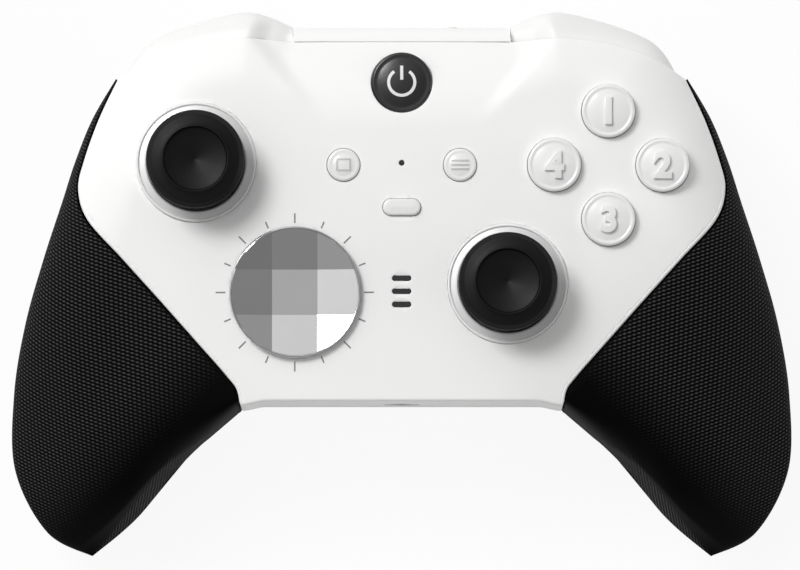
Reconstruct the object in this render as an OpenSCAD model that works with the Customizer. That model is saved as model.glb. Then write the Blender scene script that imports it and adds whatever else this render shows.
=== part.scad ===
// Two-handed gamepad: a pale case with dark textured grips, two thumbsticks, a dished direction
// disc, four face buttons, shoulder bumpers and triggers, with its works inside.
// X runs to the right hand, Y to the shoulders, Z out of the face. Millimetres.

/* [Case] */
// Half width across the grips at their widest
half_w = 78; // [76:0.5:80]
// Distance from the middle to the tip of each grip, along Y
tip_y = 54; // [52:0.5:56]
// Distance from the middle plane to the tip of each grip, along X
tip_x = 62; // [60:0.5:64]
// Distance from the middle to the crest of each bumper, along Y
crest_y = 54; // [53:0.5:55]
// Distance from the middle to the lower edge of the case between the grips, along Y
lower_y = 24.2; // [23:0.2:25]
// Height of the face above the table
face_h = 44; // [43:0.5:45]
// Thickness of the case walls
wall = 2.2; // [1.8:0.1:2.6]
// Thickness of the front shell's lip over the bumpers
lip = 1.2; // [1:0.1:1.5]
// Thickness of the grip sleeves
grip_wall = 2.4; // [2:0.1:3]
// Gap along the seams between fixed shells
seam = 0.3; // [0.2:0.05:0.4]

/* [Sticks] */
// Left stick, distance to the left of the middle
left_stick_x = 40.8; // [40:0.2:42]
// Left stick, distance above the middle
left_stick_y = 23.3; // [22.5:0.2:24]
// Right stick, distance to the right of the middle
right_stick_x = 21; // [20.4:0.2:22]
// Right stick, distance above the middle
right_stick_y = -0.9; // [-2:0.1:0]
// Radius of the cap
cap_r = 9.5; // [8.5:0.1:10]
// Height of the cap's rim above the face
cap_rise = 11.6; // [10.6:0.2:13]
// Height of the pivots above the main board
pivot_rise = 6.8; // [6.5:0.1:7.2]
// Radius of the opening in the stick ring
ring_bore_r = 10.4; // [10.2:0.1:10.6]
// Width of the stick ring
ring_w = 1.5; // [1.4:0.05:1.8]
// Height of the stick ring above the face
ring_rise = 0.9; // [0.5:0.1:1.2]
// Radius of the stick's post
post_r = 2.2; // [1.8:0.1:2.4]
// Radius of the gimbal's pins
gimbal_pin_r = 0.7; // [0.5:0.05:0.8]

/* [Direction disc] */
// Distance to the left of the middle
disc_x = 21.2; // [20.6:0.2:22]
// Distance above the middle
disc_y = -2.6; // [-3.4:0.2:-2]
// Radius of the disc
disc_r = 13; // [12.4:0.1:13.4]
// Height of the disc's rim above the face
disc_rise = 2.2; // [1.6:0.1:2.8]
// Depth of the dish
dish_depth = 1.4; // [0.8:0.1:1.6]

/* [Buttons] */
// Distance from the middle to the centre of the face buttons, along X
buttons_x = 41; // [40.4:0.2:41.6]
// Distance from the middle to the centre of the face buttons, along Y
buttons_y = 22.7; // [22:0.1:23.4]
// Distance from the centre of the group to each face button
buttons_pitch = 10.75; // [10.5:0.05:11]
// Radius of a face button
button_r = 5.3; // [5:0.1:5.5]
// Height of a face button above the face
button_rise = 2.2; // [1.8:0.1:2.6]
// Travel of a face button
button_travel = 1.2; // [0.8:0.1:1.3]
// Distance of the two menu buttons from the middle
menu_x = 11.55; // [11:0.05:12.4]
// Radius of the two menu buttons
menu_r = 3.25; // [3:0.05:3.5]
// Height of the small buttons above the face
small_rise = 1; // [0.6:0.1:1.4]
// Travel of the small buttons
small_travel = 0.6; // [0.4:0.1:0.8]
// Profile button, distance above the middle
profile_y = 14.3; // [13.6:0.1:15]
// Profile button, half its length
profile_l = 3.75; // [3.4:0.05:4]
// Profile button, half its width
profile_w = 1.65; // [1.4:0.05:1.8]
// Home button, distance below the upper edge of the face
home_drop = 8.4; // [8:0.1:9]
// Home button radius
home_r = 6; // [5.6:0.1:6.2]
// Pitch of the three profile lights
light_pitch = 2.6; // [2.4:0.1:3]
// Clearance round every button
play = 0.2; // [0.15:0.05:0.3]

/* [Triggers and bumpers] */
// Distance of the trigger pins behind the bumpers' crests
trigger_back = 13; // [12.6:0.1:13.4]
// Depth of the trigger pins below the face
trigger_drop = 14.4; // [14.2:0.1:14.8]
// Radius of the trigger pins
trigger_pin_r = 1.2; // [1:0.05:1.4]
// Middle of each trigger, distance from the middle plane
trigger_x = 37.6; // [37.4:0.1:37.8]
// Width of a trigger
trigger_w = 21.6; // [20:0.2:21.8]
// Angle that a trigger faces outwards
trigger_skew = 14; // [13:0.5:15]
// Running clearance of pins in their bores
pin_play = 0.05; // [0.03:0.01:0.08]
// How far the bumpers reach down past the trigger pins
bumper_skirt = 4.1; // [3.4:0.1:4.5]
// Distance of the bumper pivots from the middle plane
bumper_pivot_x = 18.3; // [18:0.1:18.6]
// Distance of the bumper pivots behind the bumpers' crests
bumper_pivot_back = 8.4; // [8.2:0.1:8.6]
// Travel of a trigger stop slider
stop_travel = 5; // [4:0.2:5.4]

/* [Works] */
// Top of the middle frame's plate above the table
frame_h = 21.6; // [21.2:0.1:22]
// Thickness of the middle frame's plate
frame_t = 2; // [1.6:0.1:2.2]
// Thickness of the circuit boards
board_t = 1.6; // [1.2:0.1:1.6]
// Height of the main board's top above the frame plate
board_rise = 3.2; // [3:0.1:3.3]
// Gap between the button board and the home button's flange, when that is pressed
button_board_gap = 0.36; // [0.3:0.02:0.6]
// Radius of the bore of the headset socket, for a 3.5 mm plug
jack_r = 1.8; // [1.77:0.01:1.9]
// Length of the bore of the headset socket
jack_l = 14; // [13:0.5:15]
// Radius of the motor cans
motor_r = 10; // [9:0.2:10.4]
// Length of the motor cans
motor_l = 14; // [12:0.5:15]
// Radius of the shell screws
screw_r = 1; // [0.8:0.05:1.1]

/* [Hidden] */
$fn = 64;

case_white = "whitesmoke";
grip_black = "#1b1b1d";
cut = 1; // how far a cutting shape runs past the face that it cuts

// Seat clearances
seat = 0.3;
flange = 0.7; // how far a button's retaining flange stands out
flange_t = 0.7;

// Heights
board_h = frame_h + board_rise;
frame_low = frame_h - frame_t;
pivot_h = board_h + pivot_rise;
trigger_h = face_h - trigger_drop;
bumper_h = trigger_h - bumper_skirt;
dome_r = face_h - pivot_h; // the dome under a stick's cap reaches the face
cap_h = face_h + cap_rise - pivot_h; // above the pivot
ring_r = ring_bore_r + ring_w;
ring_seat = 0.7; // depth of the flat seat under a stick ring

// Places along Y, from the bumpers' crests
brow_y = crest_y - 6.4; // upper edge of the face in the middle
tower_y = crest_y - 4.4; // end of the case between the trigger bays
tower_x = 21.5; // its half width
trigger_y = crest_y - trigger_back;
bay_y = trigger_y - 4.4; // where the trigger bays start
bumper_pivot_y = crest_y - bumper_pivot_back;
home_y = brow_y - home_drop;

// Plan outlines, right half, from the shoulder round the grip to the lower edge.
// front_line is the seam on the face, rim_line the outline of the case, rear_line the seam behind.
front_line = [[56.6, crest_y - 13.7], [60.3, 32.4], [63.2, 24.3], [64.4, 18.4], [62.4, 12], [55.4, 4.1],
              [48, -4.1], [41, -12], [36.2, 6.8 - lower_y], [34.1, 4.3 - lower_y], [33, 2.9 - lower_y],
              [32.5, 1.6 - lower_y], [32.2, -lower_y]];
rim_outer = [[57, crest_y - 13.3], [61.7, 32.8], [65.2, 24.3], [67.8, 16.4], [71.6, 5], [half_w - 2.7, -8],
             [half_w - 0.4, -22], [half_w - 0.6, -37], [half_w - 7, 3.7 - tip_y], [tip_x, -tip_y]];
rim_inner = [[tip_x, -tip_y], [53, 7.6 - tip_y], [43.4, -35], [32.5, -lower_y - 1]];
rear_line = [[55, crest_y - 13.8], [54.7, bay_y], [54, 28], [52.4, 19], [49.4, 11.5], [44.6, 4], [40, -3],
             [36.6, -9.5], [34.2, -14.5], [32.9, 6.2 - lower_y], [32.3, 3.7 - lower_y],
             [32, 1.7 - lower_y], [31.9, -lower_y]];
// Bumper: the seam with the front shell and the outline above it
shelf_line = [[21.7, brow_y], [27, brow_y + 0.4], [32, brow_y + 0.6], [38, brow_y + 0.1],
              [44, brow_y - 1.1], [49.3, brow_y - 2.9], [53.2, brow_y - 5.1]];
crest_line = [[21.7, crest_y - 3.2], [25.5, crest_y - 1.4], [30.6, crest_y], [37, crest_y - 1.2],
              [44, crest_y - 3.3], [50.4, crest_y - 6.2], [55, crest_y - 10.6]];
cover_y = crest_line[0].y; // front of the top cover
rim_n = len(rim_outer) - 1; // the tip's place in the rim

function clamp(t) = min(1, max(0, t));
function ease(a, b, t) = let (s = clamp((t - a) / (b - a))) s * s * (3 - 2 * s);
function hermite(a, b, c, d, t) =
    0.5 * (2 * b + (c - a) * t + (2 * a - 5 * b + 4 * c - d) * t * t + (3 * b - a - 3 * c + d) * t * t * t);
function spline_at(p, u) =
    let (i = min(floor(u), len(p) - 2), last = len(p) - 1)
    hermite(p[max(i - 1, 0)], p[i], p[i + 1], p[min(i + 2, last)], u - i);
function spline(p, n) = [for (k = [0 : n * (len(p) - 1)]) spline_at(p, k / n)];
function to_segment(p, a, b) =
    let (d = b - a, t = clamp((p - a) * d / (d * d)))
    norm(p - a - t * d);
function to_path(p, path) = min([for (i = [0 : len(path) - 2]) to_segment(p, path[i], path[i + 1])]);
function half_plane(p) = [abs(p.x), p.y];
// Quarter of a superellipse: 0 at the edge, 1 from one radius inwards
function roll(t, power) = t >= 1 ? 1 : t <= 0 ? 0 : pow(1 - pow(1 - t, power), 1 / power);

outer_path = concat([[0, cover_y]], spline(crest_line, 4), spline(rim_outer, 5));
inner_path = spline(rim_inner, 6);

// The rim's height falls from the shoulders to the grips' tips
function rim_h(p) = 23 + 0.18 * p.y;
face_roll = 15;
function beyond_seam(p) = (abs(p.x) - 48) * 0.746 - (p.y + 3) * 0.667; // distance past the front seam
panel_depth = 2.2; // of the recess round the home button, at its upper edge
panel_y = brow_y - 16.1; // lower edge of that recess
function panel_edge(y) = 16.5 + (y - panel_y) * 0.78;
function panel(p) =
    let (edge = panel_edge(p.y))
    panel_depth * ease(panel_y - 1.5, brow_y + 1.4, p.y) * (1 - ease(edge - 3, edge + 1.5, abs(p.x)));
function face_crown(p) =
    face_h - 0.0006 * p.x * p.x - 0.0068 * pow(max(0, beyond_seam(p) + 10), 2)
    - 0.0012 * pow(max(0, p.y - 20), 2) - panel(p);
function outer_roll(p, r) = roll(to_path(half_plane(p), outer_path) / r, 2.2);
function inner_share(p) = ease(30, 50, abs(p.x));
function inner_roll(p, r) =
    roll(to_path(half_plane(p), inner_path) / (2 + (r - 2) * inner_share(p)), 5 - 2.6 * inner_share(p));
function face_z(p) = rim_h(p) + (face_crown(p) - rim_h(p)) * outer_roll(p, face_roll);
function grip_front_z(p) = rim_h(p) + (face_z(p) - rim_h(p)) * inner_roll(p, 11);

// The back: a level bulge in the middle and the grips on each side
bulge_h = 0.3;
function middle_back(y) = bulge_h + 0.0105 * pow(max(0, 8 - y), 2) + 0.012 * pow(max(0, y - 32), 2);
function grip_back(y) = 0.003 * pow(y + 32, 2);
function back_crown(p) =
    middle_back(p.y) + (grip_back(p.y) - middle_back(p.y)) * ease(24, 52, abs(p.x));
function back_z(p) = rim_h(p) - (rim_h(p) - back_crown(p)) * outer_roll(p, 12);
function grip_back_z(p) = rim_h(p) - (rim_h(p) - back_z(p)) * inner_roll(p, 11);

// A closed skin over rings of equal counts. cap is "fan" for star-shaped ends or "zip" for open sections.
module skin(rings, flip = false, cap = "fan") {
    m = len(rings);
    n = len(rings[0]);
    points = concat([for (r = rings) each r], [mean(rings[0]), mean(rings[m - 1])]);
    sides = [for (r = [0 : m - 2], i = [0 : n - 1])
                let (a = r * n + i, b = r * n + (i + 1) % n)
                each [[a, b + n, a + n], [a, b, b + n]]];
    fans = [for (i = [0 : n - 1])
               each [[m * n, (i + 1) % n, i], [m * n + 1, (m - 1) * n + i, (m - 1) * n + (i + 1) % n]]];
    zips = [for (i = [0 : n / 2 - 2])
               let (a = i, b = i + 1, c = n - 2 - i, d = n - 1 - i, e = (m - 1) * n)
               each [[a, c, b], [a, d, c], [a + e, b + e, c + e], [a + e, c + e, d + e]]];
    faces = concat(sides, cap == "fan" ? fans : zips);
    polyhedron(points = cap == "fan" ? points : [for (i = [0 : m * n - 1]) points[i]],
               faces = flip ? [for (f = faces) [f[0], f[2], f[1]]] : faces);
}
function mean(ring) = [for (k = [0 : 2]) [for (p = ring) p[k]] * [for (p = ring) 1] / len(ring)];
function at(p, z) = [p.x, p.y, z];
function towards(p, c, d) = p + (c - p) * d / norm(c - p); // p moved by d towards c

module pair_left() { mirror([1, 0, 0]) children(); }
// A flat outline in the YZ plane, drawn out along X from x
module along_x(x, length) { translate([x, 0, 0]) rotate([90, 0, 90]) linear_extrude(length) children(); }
// A cylinder lying along X or Y, from its low end
module rod_x(x, y, z, r, length) { translate([x, y, z]) rotate([0, 90, 0]) cylinder(r = r, h = length); }
module rod_y(x, y, z, r, length) { translate([x, y, z]) rotate([-90, 0, 0]) cylinder(r = r, h = length); }
module block(low, high) { translate(low) cube(high - low); }
module plate(low, high) { translate(low) square(high - low); }

// Front shell
shell_middle = [0, 12];
face_half = concat(spline([[0, brow_y], [12, brow_y], shelf_line[0]], 2),
                   [for (i = [1 : 5]) shelf_line[i]], [[53.6, brow_y - 5.3]],
                   [for (p = spline(front_line, 2)) p]);
face_line = concat([for (i = [len(face_half) - 1 : -1 : 0]) face_half[i]],
                   [for (i = [1 : len(face_half) - 1]) [-face_half[i].x, face_half[i].y]],
                   [for (x = [-24, -12, 0, 12, 24]) [x, -lower_y]]);
edge_r = 1.6; // rounding of the lower edge
function on_lower_edge(p) = p.y < 0.1 - lower_y;
function shell_z(p) = face_z(p) - edge_r * (1 - roll((p.y + lower_y) / edge_r, 2));
function shell_low(p) =
    on_lower_edge(p) ? rim_h(p) + seam / 2 :
    face_z(p) - (p.y > brow_y - 5.6 ? lip : wall);
function shell_inset(p) = towards(p, shell_middle, wall);
function shell_under(p) = shell_z(p) - (lip + (wall - lip) * ease(0, 8, to_path(half_plane(p), shelf_line)));
shares_out = [0.12, 0.34, 0.54, 0.7, 0.82, 0.9, 0.955, 0.985];
shares_in = [0.97, 0.86, 0.68, 0.42, 0.12];
function shrunk(ring, s, c) = [for (p = ring) c + (p - c) * s];

// Level of the flange of a button of reach r, below the lowest part of the wall over it
function flange_z(p, r) =
    min([for (a = [0 : 30 : 330]) face_z(p + r * [cos(a), sin(a)])]) - wall - 0.35 - seat;
left_stick = [-left_stick_x, left_stick_y];
right_stick = [right_stick_x, right_stick_y];
disc_at = [-disc_x, disc_y];
buttons_at = [buttons_x, buttons_y];
button_places = [for (a = [90, 0, 270, 180]) buttons_at + buttons_pitch * [cos(a), sin(a)]];
menu_places = [[-menu_x, buttons_y], [menu_x, buttons_y]];
profile_at = [0, profile_y];
home_at = [0, home_y];
status_at = [0, buttons_y + 0.4];
// The button board lies clear of the lowest flange
button_board_h =
    min(flange_z(home_at, home_r + flange) - small_travel,
        min([for (p = button_places) flange_z(p, button_r + flange)]) - button_travel)
    - flange_t - button_board_gap;
status_r = 0.5;
lights_y = -2.4;
light_l = 1.85; // half length of a profile light
light_w = 0.5;  // half width
light_play = 0.05; // round the lenses
disc_gap = 0.6; // round the direction disc, for its rocking
screw_places = [for (s = [1, -1]) each [[s * 19, bay_y - 7], [s * 9.5, 6.7 - lower_y]]];
boss_r = 2.8;

module stadium(half_l, half_w) {
    for (s = [-1, 1]) translate([s * (half_l - half_w), 0]) circle(half_w);
    square([2 * (half_l - half_w), 2 * half_w], center = true);
}
module hole_at(p, r, z) { translate(at(p, z)) cylinder(r = r, h = face_h); }
module slot_at(p, half_l, half_w, z) {
    translate(at(p, z)) linear_extrude(face_h) stadium(half_l, half_w);
}
jack_h = board_h + 2.6;
jack_nose_r = 3.4;
shell_deep = frame_h + 5; // lowest level of the holes through the face

module front_shell() {
    color(case_white) difference() {
        union() {
            skin(concat(
                [for (s = shares_out) [for (p = shrunk(face_line, s, shell_middle)) at(p, shell_z(p))]],
                [[for (p = face_line) at(p, shell_z(p))]],
                [[for (p = face_line) at(p, shell_low(p))]],
                [[for (p = face_line) at(shell_inset(p), shell_low(p))]],
                [for (s = shares_in)
                    [for (p = face_line)
                        let (q = shell_middle + (shell_inset(p) - shell_middle) * s)
                        at(q, shell_under(q))]]));
            for (p = screw_places)
                translate(at(p, frame_h + seam))
                    cylinder(r = boss_r, h = face_z(p) - wall / 2 - frame_h - seam);
        }
        for (p = [left_stick, right_stick]) {
            hole_at(p, ring_r - 0.6, shell_deep);
            hole_at(p, ring_r + play, face_z(p) - ring_seat);
        }
        hole_at(disc_at, disc_r + disc_gap, shell_deep);
        for (p = button_places) hole_at(p, button_r + play, shell_deep);
        for (p = menu_places) hole_at(p, menu_r + play, shell_deep);
        slot_at(profile_at, profile_l + play, profile_w + play, shell_deep);
        hole_at(home_at, home_r + play, shell_deep);
        hole_at(status_at, status_r + light_play, shell_deep);
        for (k = [-1 : 1])
            slot_at([0, lights_y + k * light_pitch], light_l + light_play, light_w + light_play, shell_deep);
        for (p = screw_places) translate(at(p, frame_h)) cylinder(r = screw_r, h = 12);
        rod_y(0, -lower_y - cut, jack_h, jack_nose_r + play, wall + 3 + cut);
    }
}

// Rear shell
rear_middle = [0, 6];
rear_n = len(rear_line) - 1;
rear_half = concat([[0, tower_y], [10, tower_y], [tower_x - 2, tower_y], [tower_x, tower_y - 1.6],
                    [tower_x, tower_y - 7.6], [tower_x, bay_y], [30, bay_y], [38, bay_y], [46, bay_y]],
                   [for (k = [2 : 2 * rear_n]) spline_at(rear_line, k / 2)]);
rear_outline = concat([for (i = [len(rear_half) - 1 : -1 : 0]) rear_half[i]],
                      [for (i = [1 : len(rear_half) - 1]) [-rear_half[i].x, rear_half[i].y]],
                      [for (x = [-24, -12, 0, 12, 24]) [x, -lower_y]]);
rear_round = 7;  // rounding of the lower edge, along Y
rear_lift = 5;   // and along Z
function rear_z(p) = back_z(p) + rear_lift * (1 - roll((p.y + lower_y) / rear_round, 2));
function rear_top(p) =
    on_lower_edge(p) ? rim_h(p) - seam / 2 :
    p.y > bay_y - 0.1 && abs(p.x) < 53 ? frame_low - seam :
    rear_z(p) + wall;
function rear_inset(p) = towards(p, rear_middle, wall);
rear_out = [0.12, 0.32, 0.5, 0.66, 0.8, 0.9, 0.96];
rear_in = [0.95, 0.8, 0.6, 0.36, 0.12];
stop_x = 26.5; // trigger stop sliders
stop_y = bay_y - 11.6;
stop_l = 7;    // slider length along Y
stop_w = 5.6;
stop_floor = bulge_h + wall + 0.5; // level of the slider's pocket
stop_t = 1.4;  // thickness of the track behind it
plate_l = 14;  // half length of the dock plate
plate_w = 8;   // half width
plate_y = 19;
plate_t = 1.4;
screw_head_r = 1.9;
screw_play = 0.15;
screw_head_h = 14; // level that the heads seat on

module stop_track(grow) {
    block([stop_x - stop_w / 2 - grow, stop_y - stop_l / 2 - grow, stop_floor - cut],
          [stop_x + stop_w / 2 + grow, stop_y + stop_l / 2 + stop_travel + grow, stop_floor + stop_t]);
}
module both_sides() { for (s = [0, 1]) mirror([s, 0, 0]) children(); }

module rear_shell() {
    color(case_white) difference() {
        union() {
            skin(concat(
                [for (s = rear_out) [for (p = shrunk(rear_outline, s, rear_middle)) at(p, rear_z(p))]],
                [[for (p = rear_outline) at(p, rear_z(p))]],
                [[for (p = rear_outline) at(p, rear_top(p))]],
                [[for (p = rear_outline) at(rear_inset(p), rear_top(p))]],
                [for (s = rear_in)
                    [for (p = rear_outline)
                        let (q = rear_middle + (rear_inset(p) - rear_middle) * s) at(q, rear_z(q) + wall)]]),
                flip = true);
            for (p = screw_places)
                translate(at(p, rear_z(p) + wall / 2))
                    cylinder(r = boss_r, h = frame_low - seam - rear_z(p) - wall / 2);
            both_sides() stop_track(2);
        }
        for (p = screw_places) translate(at(p, -cut)) {
            cylinder(r = screw_head_r + play, h = screw_head_h + cut);
            cylinder(r = screw_r + screw_play, h = frame_h);
        }
        both_sides() {
            block([stop_x - stop_w / 2 - play, stop_y - stop_l / 2 - play, -cut],
                  [stop_x + stop_w / 2 + play, stop_y + stop_l / 2 + stop_travel + play, stop_floor]);
            block([stop_x - 1.2 - play, stop_y - 1.2 - play, -cut],
                  [stop_x + 1.2 + play, stop_y + 1.2 + stop_travel + play, stop_floor + stop_t + wall]);
        }
        translate([0, plate_y, -cut]) linear_extrude(plate_t + cut + play)
            stadium(plate_l + play, plate_w + play);
    }
}

// Grip sleeve, right hand. Each ring is one section: out over the front, round the rim and over the back,
// then home along the inside.
grip_rings = 48;
strip_n = 7;
function rim_at(u) = u <= rim_n ? spline_at(rim_outer, u) : spline_at(rim_inner, u - rim_n);
function strip_place(j) = sin(90 * j / strip_n);
function strip(a, e, z_edge, front) =
    [for (j = [0 : strip_n])
        let (p = a + (e - a) * strip_place(j))
        at(p, j == strip_n ? z_edge : front ? grip_front_z(p) : grip_back_z(p))];
function lining(a, e, outer, z_edge) =
    let (w = norm(e - a), share_xy = max(0.15, 1 - grip_wall / w),
         share_z = max(0.2, 1 - grip_wall / abs(outer[0].z - z_edge)))
    [for (j = [0 : strip_n])
        let (p = a + (e - a) * strip_place(j) * share_xy)
        at(p, z_edge + (outer[j].z - z_edge) * share_z)];
function reversed(list) = [for (i = [len(list) - 1 : -1 : 0]) list[i]];
function grip_section(u) =
    let (e = rim_at(u), z_edge = rim_h(e), f0 = spline_at(front_line, u), b0 = spline_at(rear_line, u),
         f = towards(f0, e, seam), b = towards(b0, e, seam),
         front = strip(f, e, z_edge, true), back = strip(b, e, z_edge, false),
         front_in = lining(f, e, front, z_edge), back_in = lining(b, e, back, z_edge))
    concat(front, [for (j = [strip_n - 1 : -1 : 0]) back[j]],
           back_in, [for (j = [strip_n - 1 : -1 : 0]) front_in[j]]);
module right_grip() {
    last = len(front_line) - 1;
    color(grip_black)
        skin([for (k = [0 : grip_rings]) grip_section(last * k / grip_rings)], cap = "zip");
}
module left_grip() { pair_left() right_grip(); }

// Top cover between the bumpers, with the openings for the charging port and the pairing button
cover_half = shelf_line[0].x - seam;
cover_t = 1.8;
cover_low = frame_low;
cover_top = face_z([0, brow_y]);
cover_bend = cover_top - 6.8;
usb_w = 9; // charging receptacle, outside
usb_t = 3.2;
usb_l = 7.4;
usb_h = board_h + usb_t / 2;
pair_x = 9.5;
pair_r = 1.5;
function cover_arc(inset) =
    [for (a = [0 : 15 : 90])
        [brow_y + seam + (cover_y - inset - brow_y - seam) * sin(a),
         cover_bend + (cover_top - inset - cover_bend) * cos(a)]];
module top_cover() {
    color(case_white) difference() {
        along_x(-cover_half, 2 * cover_half)
            polygon(concat(cover_arc(0), [[cover_y, 25], [cover_y - 0.6, cover_low],
                                          [cover_y - 0.6 - cover_t, cover_low], [cover_y - cover_t, 25]],
                           reversed(cover_arc(cover_t))));
        translate([0, cover_y - cover_t - cut, usb_h]) rotate([-90, 0, 0])
            linear_extrude(cover_t + 2 * cut) stadium(usb_w / 2 + play, usb_t / 2 + play);
        rod_y(pair_x, cover_y - cover_t - cut, usb_h, pair_r + play, cover_t + 2 * cut);
    }
}

// Bumper pivots: a lug on the bumper round a pin on the middle frame
lug_low = cover_top - 8.8;
lug_h = 4;
lug_r = 2.5;
lug_x = 22.2; // where the lug turns up to the bumper's wall
lug_t = 2.2;
bumper_pin_r = 1.1;

// Middle frame: a plate with the bay walls, trigger ears, bumper posts and motor saddles
root = 0.5; // how far a post runs into the plate it stands on
ear_t = 2.2;
ear_r = 2.6;
ear_in = trigger_x - trigger_w / 2 - 1.4 - ear_t;
ear_out = trigger_x + trigger_w / 2 + 1;
bay_wall_t = 1.4;
bay_top = trigger_h + 3.6;
grip_inner_x = 42; // inner side of the grips at the motors
grip_fall = 11; // how far the grips' fronts lie below the face there
motor_at = [(half_w + grip_inner_x) / 2, -21, (face_h - grip_fall) / 2]; // front end of each can, on its axis
saddle_t = 1.6;
board_posts = [for (s = [1, -1]) each [[s * 27, bay_y - 12.6], [s * 27, 9.2 - lower_y]]];
frame_edge = wall + 1 - lower_y;
saddle_x = motor_at.x - motor_r; // inner side of the motor
plate_edge = [[tower_x - 2.6, tower_y - 2.6], [tower_x - 2.6, bay_y + bay_wall_t],
              [ear_out + ear_t, bay_y + bay_wall_t], [ear_out + ear_t, bay_y - 6.6], [47, bay_y - 16.6],
              [44, -6], [saddle_x - play, motor_at.y - 2], [saddle_x - play, motor_at.y - 9],
              [saddle_x - 4.5, motor_at.y - 9], [36, frame_edge + 2], [31, frame_edge], [0, frame_edge]];
module frame_ear(x) {
    along_x(x, ear_t) difference() {
        union() {
            translate([trigger_y, trigger_h]) circle(ear_r);
            translate([bay_y, trigger_h - ear_r]) square([trigger_y - bay_y, 2 * ear_r]);
        }
        translate([trigger_y, trigger_h]) circle(trigger_pin_r + 0.02);
    }
}
module frame_side() {
    block([tower_x + 1, bay_y, frame_low], [ear_out + ear_t, bay_y + bay_wall_t, bay_top]);
    frame_ear(ear_in);
    frame_ear(ear_out);
    translate([bumper_pivot_x, bumper_pivot_y, frame_h - root]) {
        cylinder(r = bumper_pin_r + 0.9, h = lug_low - seam - frame_h + root);
        cylinder(r = bumper_pin_r, h = lug_low + lug_h + 1 - frame_h + root);
    }
    // Saddle that carries the motor
    intersection() {
        difference() {
            rod_y(motor_at.x, motor_at.y - 9, motor_at.z, motor_r + play + saddle_t, 6);
            rod_y(motor_at.x, motor_at.y - 10, motor_at.z, motor_r + play, 8);
        }
        block([saddle_x - 5, motor_at.y - 10, motor_at.z - 4], [saddle_x + 3, motor_at.y, frame_h]);
    }
}
module middle_frame() {
    color("dimgray") difference() {
        union() {
            translate([0, 0, frame_low]) linear_extrude(frame_t)
                polygon(concat(plate_edge, reversed([for (p = plate_edge) [-p.x, p.y]])));
            both_sides() frame_side();
            for (p = board_posts)
                translate(at(p, frame_h - root)) cylinder(r = 2.4, h = board_rise - board_t + root);
        }
        for (p = board_posts) translate(at(p, frame_low + 0.4)) cylinder(r = 0.9, h = 10);
        for (p = screw_places)
            translate(at(p, frame_low - cut)) cylinder(r = screw_r + screw_play, h = frame_t + 2 * cut);
    }
}

// Bumper, right hand: a thin curved wall whose lip runs under the front shell
bumper_t = 1.8;
bumper_drop = lip + 1; // how far the lip lies below the front shell's edge
bumper_reach = 2.4;
arc_n = 6;
function bumper_path(s, c, inset) =
    let (w = norm(c - s), d = (c - s) / w, z_seam = face_z(s) - bumper_drop - inset,
         z_rim = rim_h(c) - 1, e0 = min(0.8, w * 0.3), t = min(inset, 0.42 * w))
    concat([at(s - d * bumper_reach, z_seam)],
           [for (j = [0 : arc_n])
               let (a = 90 * j / arc_n, e = e0 + (w - t - e0) * sin(a))
               at(s + d * e, z_rim + (z_seam - z_rim) * cos(a))],
           [at(s + d * (w - t), bumper_h)]);
function bumper_section(u) =
    let (s = spline_at(shelf_line, u), c = spline_at(crest_line, u))
    concat(bumper_path(s, c, 0), reversed(bumper_path(s, c, bumper_t)));
bumper_rings = 18;
module right_bumper() {
    last = len(shelf_line) - 1;
    color(case_white) difference() {
        union() {
            skin([for (k = [0 : bumper_rings]) bumper_section(last * k / bumper_rings)], cap = "zip");
            translate([bumper_pivot_x, bumper_pivot_y, lug_low]) cylinder(r = lug_r, h = lug_h);
            block([bumper_pivot_x, bumper_pivot_y - 0.9, lug_low],
                  [lug_x + lug_t, bumper_pivot_y + 1.4, lug_low + lug_h]);
            block([lug_x, bumper_pivot_y - 0.9, lug_low], [lug_x + lug_t, cover_y - 0.6, lug_low + lug_h]);
        }
        translate([bumper_pivot_x, bumper_pivot_y, lug_low - cut])
            cylinder(r = bumper_pin_r + pin_play, h = lug_h + 2 * cut);
    }
}
module left_bumper() { pair_left() right_bumper(); }

// Trigger, right hand: a hooked blade on two arms. The blade's heights are from the pin.
blade_front = [[-1, 3.2], [0.4, 2.2], [1.1, -0.1], [1.3, -4.6], [1.2, -10.1], [0.7, -15.1], [0.6, -19.1],
               [1.8, -22.2], [3.6, -24.2]];
blade_back = [[2.2, -24.8], [0, -23], [-1.6, -20.1], [-1.8, -15.6], [-1.3, -10.1], [-1, -4.6], [-1, -0.6],
              [-1.2, 1.8]];
blade_n = 2;
blade_y = crest_y - 7.4; // middle of the blade's thickness at the arms
blade_reach = 15; // longer than the blade is thick
arm_t = 2.4;
cheek_low = trigger_h - 19.6; // lower end of the arms, behind the blade
blade_foot = 7; // half width of the blade at its tip
module trigger_outline() {
    h = trigger_w / 2;
    side = [[blade_foot - 3, -25], [blade_foot + 0.6, -23], [h - 0.8, -15.6], [h, -5.6], [h, 8.4]];
    polygon(spline(concat(reversed([for (p = side) [-p.x, p.y]]), [[0, -25.2]], side), 3));
}
module trigger_arm(x) {
    reach = blade_y - (x + arm_t / 2 - trigger_x) * tan(trigger_skew); // into the blade
    heel = max(reach - 3.2, trigger_y + 1.2);
    along_x(x, arm_t) difference() {
        union() {
            translate([trigger_y, trigger_h]) circle(2.7);
            polygon([[trigger_y - 0.8, trigger_h - 2.6], [heel, cheek_low + 3], [reach - 1.2, cheek_low],
                     [reach - 0.4, cheek_low + 4], [reach, trigger_h - 6], [reach, trigger_h + 2],
                     [trigger_y, trigger_h + 2.7]]);
        }
        translate([trigger_y, trigger_h]) circle(trigger_pin_r + pin_play);
    }
}
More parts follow.
